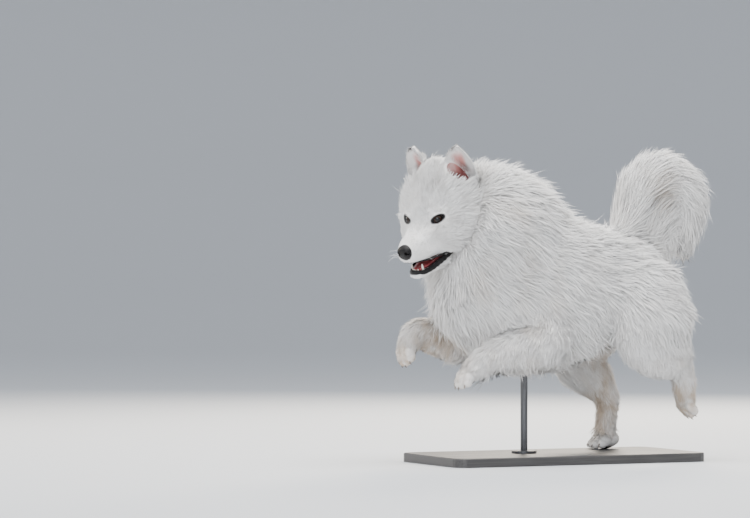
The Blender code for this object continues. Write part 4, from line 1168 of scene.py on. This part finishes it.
def ranged(tree, value, low, high, new_low, new_high):
    made = tree.nodes.new("ShaderNodeMapRange")
    made.inputs["From Min"].default_value = low
    made.inputs["From Max"].default_value = high
    made.inputs["To Min"].default_value = new_low
    made.inputs["To Max"].default_value = new_high
    link(tree, value, made.inputs["Value"])
    return made.outputs[0]


def mixed(tree, share, first, second, blend="MIX"):
    made = tree.nodes.new("ShaderNodeMix")
    made.data_type = "RGBA"
    made.blend_type = blend
    for index, value in ((0, share), (6, first), (7, second)):
        if isinstance(value, (tuple, float)):
            made.inputs[index].default_value = (*value, 1.0) if isinstance(value, tuple) else value
        else:
            link(tree, value, made.inputs[index])
    return made.outputs[2]


def attribute_in(tree, name):
    made = tree.nodes.new("ShaderNodeAttribute")
    made.attribute_name = name
    return made.outputs["Fac"]


def bumped(tree, shader, height, strength, distance):
    bump = tree.nodes.new("ShaderNodeBump")
    bump.inputs["Strength"].default_value = strength
    bump.inputs["Distance"].default_value = distance
    link(tree, height, bump.inputs["Height"])
    link(tree, bump.outputs[0], shader.inputs["Normal"])


# The coat's colour: white with cream and tan shades, with painted shade that deepens it towards the roots,
# each tuft of its own tone.
# Bare skin is pink in the ears, with painted shade low in their cups, dark pink in the mouth and black round
# eyes and lips.
WHITE = (0.93, 0.92, 0.90, 1.0)
CREAM_SHADE = (0.52, 0.385, 0.26, 1.0)
DULL_TUFT = (0.80, 0.785, 0.77)
EAR_PINK = (0.60, 0.22, 0.19)
EAR_PAINTED_SHADE = (0.13, 0.025, 0.022)
MOUTH_PINK = (0.10, 0.022, 0.022)
BARE_BLACK = (0.012, 0.011, 0.011)
coat_colour, colour_in, colour_out = group_of(
    "coat_colour",
    [("White", "NodeSocketColor", WHITE), ("Cream", "NodeSocketColor", CREAM_SHADE)],
    [("Colour", "NodeSocketColor")])


def tinted(shade, marks, low, high, new_low, new_high, tint):
    """A shade turned towards a tint by the numbers marked on the surface."""
    share = ranged(coat_colour, attribute_in(coat_colour, marks), low, high, new_low, new_high)
    return mixed(coat_colour, share, shade, tint)


shade = tinted(colour_in.outputs["White"], "tone", 0.1, 0.9, 1.0, 0.0, DULL_TUFT)
shade = tinted(shade, "cream", 0.0, 1.0, 0.0, 0.85, colour_in.outputs["Cream"])
# Painted shade at the roots: the tufts turn part way to cream near the skin, and less towards their tips.
root_painted_shade = mixed(coat_colour, 0.20, shade, colour_in.outputs["Cream"])
shade = tinted(shade, "tip", 0.0, 0.55, 0.40, 0.0, root_painted_shade)
shade = tinted(shade, "inner_ear", 0.2, 0.9, 0.0, 0.9, EAR_PINK)
# Painted shade low in the ears' cups, a near-black red.
shade = tinted(shade, "ear_deep", 0.2, 0.9, 0.0, 0.95, EAR_PAINTED_SHADE)
shade = mixed(coat_colour, attribute_in(coat_colour, "lining"), shade, MOUTH_PINK)
shade = mixed(coat_colour, attribute_in(coat_colour, "leather"), shade, BARE_BLACK)
link(coat_colour, shade, colour_out.inputs["Colour"])


def coat_like(name, bump_height):
    """A dull hair material in the coat's colours."""
    made, tree, shader = plain_material(name, (0.8, 0.8, 0.8), 0.62)
    colour = tree.nodes.new("ShaderNodeGroup")
    colour.node_tree = coat_colour
    link(tree, colour.outputs["Colour"], shader.inputs["Base Color"])
    rough = noise_in(tree, 90.0)
    link(tree, ranged(tree, rough, 0.3, 0.7, 0.50, 0.72), shader.inputs["Roughness"])
    shader.inputs["Sheen Weight"].default_value = 0.25
    shader.inputs["Sheen Roughness"].default_value = 0.4
    bumped(tree, shader, noise_in(tree, 900.0, 4.0), 0.5, bump_height)
    return made


coat_material = coat_like("coat_hair", 0.0004)
skin_material = coat_like("short_coat", 0.0012)
skin.data.materials.clear()
skin.data.materials.append(skin_material)
# Each coat piece's middle lines, and then the pieces: a part with too many triangles for one is
# cut across the body, or along it where it is longest that way.
LINE_POINTS = 40
coat_lines = {}
for name, tables in AXES.items():
    coat_lines[name] = [between(np.array([row[:3] for row in rows]), 8) for rows in tables]
head_line = from_head(np.linspace((-0.15, 0, -0.01), (0.11, 0, -0.05), LINE_POINTS))
coat_lines["head"] = coat_lines["jaw"] = [head_line]
coat_lines["ear"] = []
for side in (1, -1):
    foot, top = either_side((-0.10, 0.053, 0.03), side), either_side((-0.10, 0.057, 0.14), side)
    coat_lines["ear"].append(from_head(np.linspace(foot, top, LINE_POINTS)))
coat_lines["paw"] = []
for frame_at in paw_frames.values():
    heel, toes_end = frame_at @ Vector((-0.03, 0, 0)), frame_at @ Vector((0.05, 0, 0))
    coat_lines["paw"].append(np.linspace(heel, toes_end, LINE_POINTS))
MOST_TRIANGLES = 190000
TUFT_TRIANGLES = (4, 10, 16)
for index, part in enumerate(PARTS):
    picked = np.flatnonzero(root_owner == index)
    axis = 0 if part in ("torso", "thigh", "tail") else 1
    order = picked[np.argsort(roots[picked, axis], kind="stable")]
    costs = np.take(TUFT_TRIANGLES, np.digitize(lengths[order], SHORT_AND_MIDDLING))
    pieces = math.ceil(costs.sum() / MOST_TRIANGLES)
    cut = np.searchsorted(np.cumsum(costs), costs.sum() * np.arange(1, pieces) / pieces)
    for number, tufts in enumerate(np.split(order, cut)):
        coat_piece(f"coat_{part}_{number + 1}", tufts, coat_lines[part])

# The eyes: balls of dark brown, almost black glass, polished, with the clear bulge of the cornea.
# They sit deep between black lids, whose rims are a soft fold of bare skin: a rope laid along the
# almond outline.
PUPIL = 0.34
IRIS = 0.62
LID_RIM = 0.0013
GAZE = Vector((0.80, 0.56, 0.20)).normalized()


def rope(name, points, radii, up, closed=False, sides=10, tall=1.0):
    """A tube of changing thickness along points."""
    points = np.asarray(points, float)
    if closed:
        flow = unit(np.roll(points, -1, 0) - np.roll(points, 1, 0))
    else:
        flow = unit(np.gradient(points, axis=0))
    up = np.broadcast_to(np.asarray(up, float), points.shape)
    side = unit(np.cross(flow, up))
    over = np.cross(side, flow)
    angle = 2 * np.pi * np.arange(sides) / sides
    over = over * np.broadcast_to(tall, len(points))[:, None]
    around = np.cos(angle)[None, :, None] * side[:, None] + np.sin(angle)[None, :, None] * over[:, None]
    rings = (points[:, None] + around * np.broadcast_to(radii, len(points))[:, None, None]).reshape(-1, 3)
    count = len(points)
    if closed:
        faces = []
        for ring in range(count):
            here, there = ring * sides, (ring + 1) % count * sides
            for side in range(sides):
                after = (side + 1) % sides
                faces.append((here + side, here + after, there + after, there + side))
        return outward(object_of(name, rings, faces))
    first = points[:1] - flow[:1] * radii_at(radii, 0)
    last = points[-1:] + flow[-1:] * radii_at(radii, -1)
    poles = np.vstack([first, last])
    return outward(object_of(name, np.vstack([rings, poles]), ring_faces(count, sides)))


def radii_at(radii, index):
    """How far a rope's rounded end stands out."""
    every = np.asarray(radii).reshape(-1)
    return float(every[index if np.size(radii) > 1 else 0]) * 0.7


def two_tone(tree, shader, mask, low, high, first, second):
    """A colour that passes from one to another as a mask rises."""
    colour = mixed(tree, ranged(tree, mask, low, high, 0.0, 1.0), first, second)
    link(tree, colour, shader.inputs["Base Color"])


def uneven(tree, shader, mask, low, high, smoothest, roughest):
    """A roughness that follows a mask."""
    link(tree, ranged(tree, mask, low, high, smoothest, roughest), shader.inputs["Roughness"])


def finished(made, material, slot, *nodes):
    """A piece with its material, its place on the body, and the solids whose place it takes."""
    made.data.materials.clear()
    made.data.materials.append(material)
    made.data.polygons.foreach_set("use_smooth", [True] * len(made.data.polygons))
    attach(made, "root")
    if nodes:
        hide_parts(*nodes)
    return made


eye_material, eye_tree, eye_shader = plain_material("eye_glass", (0.02, 0.01, 0.008), 0.12)
from_pupil = attribute_in(eye_tree, "from_pupil")
fibres = noise_in(eye_tree, 700.0, 4.0)
iris_fibre = ranged(eye_tree, fibres, 0.35, 0.65, 0.0, 1.0)
iris_colour = mixed(eye_tree, iris_fibre, (0.014, 0.006, 0.004), (0.034, 0.014, 0.007))
past_pupil = ranged(eye_tree, from_pupil, PUPIL - 0.02, PUPIL + 0.02, 0.0, 1.0)
eye_colour = mixed(eye_tree, past_pupil, (0.002, 0.002, 0.002), iris_colour)
past_iris = ranged(eye_tree, from_pupil, IRIS - 0.10, IRIS, 0.0, 1.0)
eye_colour = mixed(eye_tree, past_iris, eye_colour, (0.006, 0.004, 0.003))
two_tone(eye_tree, eye_shader, from_pupil, IRIS + 0.14, IRIS + 0.30, eye_colour, (0.05, 0.035, 0.03))
uneven(eye_tree, eye_shader, from_pupil, 0.0, 1.2, 0.16, 0.34)
eye_shader.inputs["Specular IOR Level"].default_value = 0.25
eye_shader.inputs["Coat Weight"].default_value = 0.22
eye_shader.inputs["Coat Roughness"].default_value = 0.03

leather_material, leather_tree, leather_shader = plain_material("black_skin", (0.012, 0.011, 0.012), 0.42)
pebbles = leather_tree.nodes.new("ShaderNodeTexVoronoi")
pebbles.inputs["Scale"].default_value = 950.0
leather_where = leather_tree.nodes.new("ShaderNodeTexCoord")
link(leather_tree, leather_where.outputs["Object"], pebbles.inputs["Vector"])
worn = noise_in(leather_tree, 160.0, 4.0)
two_tone(leather_tree, leather_shader, worn, 0.35, 0.7, (0.005, 0.0045, 0.005), (0.014, 0.012, 0.012))
uneven(leather_tree, leather_shader, worn, 0.3, 0.7, 0.34, 0.55)
leather_shader.inputs["Specular IOR Level"].default_value = 0.22
bumped(leather_tree, leather_shader, pebbles.outputs["Distance"], 0.55, 0.0005)

rims = []
for side, label in ((1, "left"), (-1, "right")):
    eye_at = either_side(EYE_OPENING - EYE_OUT * EYE_DEEP, side)
    eye = ball("eye_ball_" + label, eye_at, (EYE_RADIUS,) * 3, 64, 40)
    eye_points = vertices_of(eye)
    outwards = np.array(either_side(GAZE, side))
    turn_away = np.arccos(np.clip(unit(eye_points - np.array(eye_at)) @ outwards, -1, 1))
    bulge = 0.0009 * np.exp(-(turn_away / 0.42) ** 4)
    eye_points += unit(eye_points - np.array(eye_at)) * bulge[:, None]
    eye.data.vertices.foreach_set("co", from_head(eye_points).ravel())
    eye.data.update()
    marked(eye, from_pupil=turn_away)
    finished(eye, eye_material, "eye", "eye_" + label)
    centre = np.array(head_frame @ eye_at)
    outline = np.array([(eye_frame(side) @ Vector((0.0, y, z)))[:] for y, z in almond(1.06, 64)])
    outline = centre + unit(outline - centre) * (EYE_RADIUS + 0.0010)
    corner = np.abs(np.cos(2 * np.pi * np.arange(64) / 64))
    thickness = LID_RIM * (1 + 0.35 * corner ** 6)
    rims.append(rope("rim", outline, thickness, unit(outline - centre), True))
lid_rims = carved(rims[0], [rims[1]], "UNION")
lid_rims.name = "lid_rims"
finished(lid_rims, leather_material, "nose_leather")

# The nose: a pad of black pebbled leather on the muzzle's end, with comma-shaped nostrils and a
# groove down the middle. It is a short limb from which the holes are cut, and then remeshed.
NOSE = (
    (0.070, 0.0, -0.038, 0.012, 0.010, 0.012),
    (0.080, 0.0, -0.0395, 0.0165, 0.0145, 0.0145),
    (0.091, 0.0, -0.0405, 0.0185, 0.0155, 0.0155),
    (0.098, 0.0, -0.0415, 0.0155, 0.0130, 0.0140),
)
nose = limb("nose_pad", NOSE, (0.004, 0.0035), 0.0, 0.9, steps=5, sides=48)
holes = []
for side in (1, -1):
    holes.append(ball("nostril", either_side((0.1000, 0.0090, -0.0395), side), (0.0080, 0.0034, 0.0040)))
    holes.append(ball("slit", either_side((0.0970, 0.0145, -0.0415), side), (0.0068, 0.0058, 0.0015)))
holes.append(ball("groove", (0.1040, 0.0, -0.051), (0.0042, 0.0010, 0.0110)))
for hole in holes:
    carved(nose, [hole])
nose = placed(remeshed([nose], 0.00062, 3), head_frame)
finished(nose, leather_material, "nose_leather", "nose")

# The lips: bare black skin along the mouth's edges, the lower one thick and scalloped. Each is a
# rope of changing thickness from one corner of the mouth round the front to the other.
UPPER_LIP = ((-0.014, 0.0465, -0.0775), (0.023, 0.0400, -0.0755), (0.060, 0.0295, -0.0705),
             (0.079, 0.0155, -0.0675), (0.0865, 0.0, -0.0655))
LOWER_LIP = ((-0.016, 0.043, -0.0825), (0.012, 0.0345, -0.0920), (0.042, 0.0270, -0.0970),
             (0.070, 0.0160, -0.0955), (0.082, 0.0, -0.0900))


def lip_line(points, steps=14):
    whole = list(points) + [either_side(point, -1) for point in points[-2::-1]]
    return between([tuple(point) for point in whole], steps)


upper_line, lower_line = lip_line(UPPER_LIP), lip_line(LOWER_LIP)
upper_thick = 0.0021 + 0.0003 * np.sin(np.arange(len(upper_line)) * 0.9)
scallops = np.abs(np.sin(np.arange(len(lower_line)) * 0.62))
beside = np.clip((0.066 - lower_line[:, 0]) / 0.03, 0, 1)
lower_thick = 0.0026 + 0.0006 * scallops * beside
lower_tall = 2.1 + 0.25 * scallops * beside - 0.5 * (lower_line[:, 0] < -0.012)
lower_line[:, 2] += 0.0026 * beside - 0.0016 * (1 - beside)
lips = placed(rope("lips", upper_line, upper_thick, (0, 0, 1)), head_frame)
lower_lip = rope("lower_lip_form", lower_line, lower_thick, (0, 0, 1), tall=lower_tall)
lips = carved(lips, [placed(lower_lip, head_frame)], "UNION")
finished(lips, leather_material, "nose_leather")

# The tongue: wet, dark pink flesh with a groove along it and fine papillae. It is a flat limb that
# lies in the lower jaw's trough.
tongue_material, tongue_tree, tongue_shader = plain_material("wet_tongue", (0.45, 0.10, 0.11), 0.35)
papillae = noise_in(tongue_tree, 1300.0, 2.0)
two_tone(tongue_tree, tongue_shader, noise_in(tongue_tree, 90.0), 0.3, 0.7,
         (0.25, 0.035, 0.042), (0.42, 0.090, 0.095))
uneven(tongue_tree, tongue_shader, papillae, 0.3, 0.7, 0.25, 0.45)
tongue_shader.inputs["Coat Weight"].default_value = 0.6
tongue_shader.inputs["Coat Roughness"].default_value = 0.15
bumped(tongue_tree, tongue_shader, papillae, 0.5, 0.0004)
tongue = limb("tongue_flesh", TONGUE, (0.006, 0.005), steps=8, sides=32)
tongue_points = vertices_of(tongue)
middle_height = np.interp(tongue_points[:, 0], [row[0] for row in TONGUE], [row[2] for row in TONGUE])
groove = 0.0016 * np.exp(-(tongue_points[:, 1] / 0.004) ** 2)
tongue_points[:, 2] -= (tongue_points[:, 2] > middle_height) * groove
tongue.data.vertices.foreach_set("co", from_head(tongue_points).ravel())
tongue.data.update()
finished(tongue, tongue_material, "tongue", "tongue")

# The lower teeth: six small incisors and a long curved canine at each end, of ivory enamel. Each is
# a short tapered rope rooted in the jaw, and a boolean makes them one row.
tooth_material, tooth_tree, tooth_shader = plain_material("tooth_enamel", (0.82, 0.78, 0.66), 0.25)
two_tone(tooth_tree, tooth_shader, noise_in(tooth_tree, 240.0), 0.3, 0.7,
         (0.80, 0.74, 0.60), (0.88, 0.86, 0.78))
uneven(tooth_tree, tooth_shader, noise_in(tooth_tree, 500.0), 0.3, 0.7, 0.18, 0.32)
tooth_shader.inputs["Coat Weight"].default_value = 0.5


CANINE = ((0.062, 0.0132, -0.0960), (0.0635, 0.0138, -0.0880), (0.0625, 0.0142, -0.0800))
CANINE_RADII = (0.0028, 0.0024, 0.0007)
INCISOR_RADII = (0.0016, 0.0017, 0.0010)
INCISOR_STEP = 0.0037


def tooth(points, radii):
    """A tapered rope through points, from the root to the tip."""
    line = between(np.array(points), 5)
    thickness = np.interp(np.linspace(0, 1, len(line)), np.linspace(0, 1, len(radii)), radii)
    return rope("tooth_form", line, thickness, (1, 0, 0), sides=14)


teeth = [tooth([either_side(point, side) for point in CANINE], CANINE_RADII) for side in (1, -1)]
for number in range(-3, 3):
    aside = (number + 0.5) * INCISOR_STEP
    ahead = 0.0745 - 0.030 * (abs(aside) / 0.016) ** 2
    points = [(ahead - 0.001, aside, -0.0955), (ahead, aside, -0.0920), (ahead - 0.001, aside, -0.0893)]
    teeth.append(tooth(points, INCISOR_RADII))
row_of_teeth = placed(carved(teeth[0], teeth[1:], "UNION"), head_frame)
row_of_teeth.name = "tooth_row"
finished(row_of_teeth, tooth_material, "tooth", "teeth")

# Claws and whiskers repeat, so one Geometry Nodes group sets each shape on its own points. A claw
# is a curved horn at the end of each toe, half hidden in the fur.
claw_material, claw_tree, claw_shader = plain_material("claw_horn", (0.10, 0.08, 0.07), 0.4)
two_tone(claw_tree, claw_shader, noise_in(claw_tree, 260.0, 3.0, (1, 1, 0.3)), 0.35, 0.65,
         (0.10, 0.080, 0.068), (0.30, 0.25, 0.21))
uneven(claw_tree, claw_shader, noise_in(claw_tree, 600.0), 0.3, 0.7, 0.3, 0.5)
repeat_tree = bpy.data.node_groups.new("shapes_on_points", "GeometryNodeTree")
REPEAT_SOCKETS = (
    ("Geometry", "NodeSocketGeometry"),
    ("Shape", "NodeSocketObject"),
    ("Size", "NodeSocketFloat"),
    ("Variation", "NodeSocketFloat"),
    ("Seed", "NodeSocketInt"),
    ("Finish", "NodeSocketMaterial"),
)
repeat_inputs = {}
for label, kind in REPEAT_SOCKETS:
    socket = repeat_tree.interface.new_socket(name=label, in_out="INPUT", socket_type=kind)
    repeat_inputs[label] = socket.identifier
repeat_tree.interface.new_socket(name="Geometry", in_out="OUTPUT", socket_type="NodeSocketGeometry")
nodes = repeat_tree.nodes
repeat_in, repeat_out = nodes.new("NodeGroupInput"), nodes.new("NodeGroupOutput")
shape_info = nodes.new("GeometryNodeObjectInfo")
shape_info.inputs["As Instance"].default_value = True
turned_by = nodes.new("GeometryNodeInputNamedAttribute")
turned_by.data_type = "FLOAT_VECTOR"
turned_by.inputs["Name"].default_value = "turn"
varied = nodes.new("FunctionNodeRandomValue")
least, most, sized = (nodes.new("ShaderNodeMath") for _ in range(3))
least.operation, most.operation, sized.operation = "SUBTRACT", "ADD", "MULTIPLY"
least.inputs[0].default_value = most.inputs[0].default_value = 1.0
on_points = nodes.new("GeometryNodeInstanceOnPoints")
realized = nodes.new("GeometryNodeRealizeInstances")
finish = nodes.new("GeometryNodeSetMaterial")
link(repeat_tree, repeat_in.outputs["Variation"], least.inputs[1])
link(repeat_tree, repeat_in.outputs["Variation"], most.inputs[1])
link(repeat_tree, least.outputs[0], varied.inputs[2])
link(repeat_tree, most.outputs[0], varied.inputs[3])
link(repeat_tree, repeat_in.outputs["Seed"], varied.inputs["Seed"])
link(repeat_tree, varied.outputs[1], sized.inputs[0])
link(repeat_tree, repeat_in.outputs["Size"], sized.inputs[1])
link(repeat_tree, repeat_in.outputs["Shape"], shape_info.inputs["Object"])
link(repeat_tree, repeat_in.outputs["Geometry"], on_points.inputs["Points"])
link(repeat_tree, shape_info.outputs["Geometry"], on_points.inputs["Instance"])
link(repeat_tree, turned_by.outputs[0], on_points.inputs["Rotation"])
link(repeat_tree, sized.outputs[0], on_points.inputs["Scale"])
link(repeat_tree, on_points.outputs[0], realized.inputs[0])
link(repeat_tree, realized.outputs[0], finish.inputs["Geometry"])
link(repeat_tree, repeat_in.outputs["Finish"], finish.inputs["Material"])
link(repeat_tree, finish.outputs[0], repeat_out.inputs[0])


def repeated(name, frames, shape, size, variation, seed, material, slot):
    """A shape set on many frames, as one piece."""
    mesh = bpy.data.meshes.new(name)
    mesh.from_pydata([tuple(frame_at.translation) for frame_at in frames], [], [])
    turns = mesh.attributes.new("turn", "FLOAT_VECTOR", "POINT")
    turns.data.foreach_set("vector", [angle for frame_at in frames for angle in frame_at.to_euler()])
    made = bpy.data.objects.new(name, mesh)
    bpy.context.scene.collection.objects.link(made)
    modifier = made.modifiers.new("shapes_on_points", "NODES")
    modifier.node_group = repeat_tree
    values = {"Shape": shape, "Size": size, "Variation": variation, "Seed": seed, "Finish": material}
    for label, value in values.items():
        modifier[repeat_inputs[label]] = value
    evaluated(made)
    bpy.data.objects.remove(shape)
    return finished(made, material, slot)


CLAW = ((-0.003, 0, 0.0005), (0.004, 0, 0.0015), (0.0085, 0, -0.001), (0.0115, 0, -0.005))
claw_line = between(CLAW, 5)
claw_thick = np.interp(np.linspace(0, 1, len(claw_line)), (0, 0.4, 0.8, 1), (0.0024, 0.0022, 0.0013, 0.0005))
claw = rope("claw_form", claw_line, claw_thick, (0, 1, 0), sides=12)
claw_frames = [toe @ Matrix.Translation((0.0150, 0.0, -0.0015))
               for paw_frame in paw_frames.values() for toe in toe_frames(paw_frame)]
repeated("claws", claw_frames, claw, 0.72, 0.08, 3, claw_material, "nose_leather")

# Whiskers: stiff white bristles, thin and tapered. They stand in rows on the upper lip's sides, with
# two above each eye, and each leans its own way.
WHISKER_SPOTS = (
    (0.074, 0.019, -0.050), (0.068, 0.023, -0.046), (0.070, 0.022, -0.056), (0.061, 0.026, -0.051),
    (0.062, 0.026, -0.060), (0.054, 0.029, -0.055), (0.053, 0.029, -0.063), (0.046, 0.031, -0.058),
    (0.016, 0.030, 0.014), (0.012, 0.034, 0.017),
)
WHISKER = ((0, 0, 0), (0.012, 0, 0.0006), (0.026, 0, -0.001), (0.040, 0, -0.006))
whisker_material, whisker_tree, whisker_shader = plain_material("whisker_hair", (0.85, 0.84, 0.82), 0.35)
two_tone(whisker_tree, whisker_shader, noise_in(whisker_tree, 60.0), 0.3, 0.7,
         (0.78, 0.77, 0.75), (0.93, 0.92, 0.91))
whisker_line = between(WHISKER, 4)
whisker_thick = np.interp(np.linspace(0, 1, len(whisker_line)), (0, 1), (0.00032, 0.00006))
whisker = rope("whisker_form", whisker_line, whisker_thick, (0, 1, 0), sides=6)
whisker_dice = np.random.default_rng(8)
whisker_frames = []
for side in (1, -1):
    for spot in WHISKER_SPOTS:
        at = head_frame @ either_side(spot, side)
        at = skin_tree.find_nearest(at)[0]
        way = Vector((0.42 - 3.0 * (0.074 - spot[0]), 0.85, 0.16))
        way += Vector(whisker_dice.normal(size=3) * 0.16)
        if spot[2] > 0:
            way = Vector((0.75, 0.30, 0.65)) + Vector(whisker_dice.normal(size=3) * 0.08)
        way = head_frame.to_3x3() @ either_side(way, side)
        whisker_frames.append(aimed(at, way, Vector((0, 0, 1))))
repeated("whiskers", whisker_frames, whisker, 0.85, 0.20, 5, whisker_material, "coat")

# The pads: thick cushions of tough black skin under each palm and each toe, remeshed from balls
# that sink into the paws.
PALM_PAD = ((0.010, 0.0, -0.0122), (0.0155, 0.0160, 0.0064))
TOE_PAD = ((0.006, 0.0, -0.0072), (0.0085, 0.0066, 0.0040))
PAD_VOXEL = 0.0015
pads = []
for paw_frame in paw_frames.values():
    pads.append(placed(ball("pad_form", *PALM_PAD), paw_frame))
    for toe in toe_frames(paw_frame):
        pads.append(placed(ball("toe_pad_form", *TOE_PAD, 20, 12), toe))
pads = remeshed(pads, PAD_VOXEL, 3)
pads.name = "pads"
finished(pads, leather_material, "nose_leather")

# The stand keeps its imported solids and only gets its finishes: a flat board with a dark satin
# lacquer over fine grain, and a slim rod of brushed steel that holds the dog under the chest.
board_material, board_tree, board_shader = plain_material("stand_lacquer", (0.05, 0.05, 0.053), 0.4)
grain = noise_in(board_tree, 26.0, 6.0, (0.5, 9.0, 9.0))
two_tone(board_tree, board_shader, grain, 0.3, 0.7, (0.038, 0.036, 0.036), (0.070, 0.066, 0.064))
uneven(board_tree, board_shader, grain, 0.3, 0.7, 0.32, 0.50)
bumped(board_tree, board_shader, grain, 0.25, 0.0004)
steel_material, steel_tree, steel_shader = plain_material("stand_brushed_steel", (0.10, 0.10, 0.105), 0.35)
brushing = noise_in(steel_tree, 240.0, 3.0, (1.0, 1.0, 0.04))
two_tone(steel_tree, steel_shader, brushing, 0.3, 0.7, (0.085, 0.085, 0.090), (0.16, 0.16, 0.165))
uneven(steel_tree, steel_shader, brushing, 0.3, 0.7, 0.26, 0.44)
steel_shader.inputs["Metallic"].default_value = 0.9
for node, material in (("stand_base", board_material), ("stand_rod", steel_material)):
    for slot in bpy.data.objects[node].material_slots:
        slot.material = material
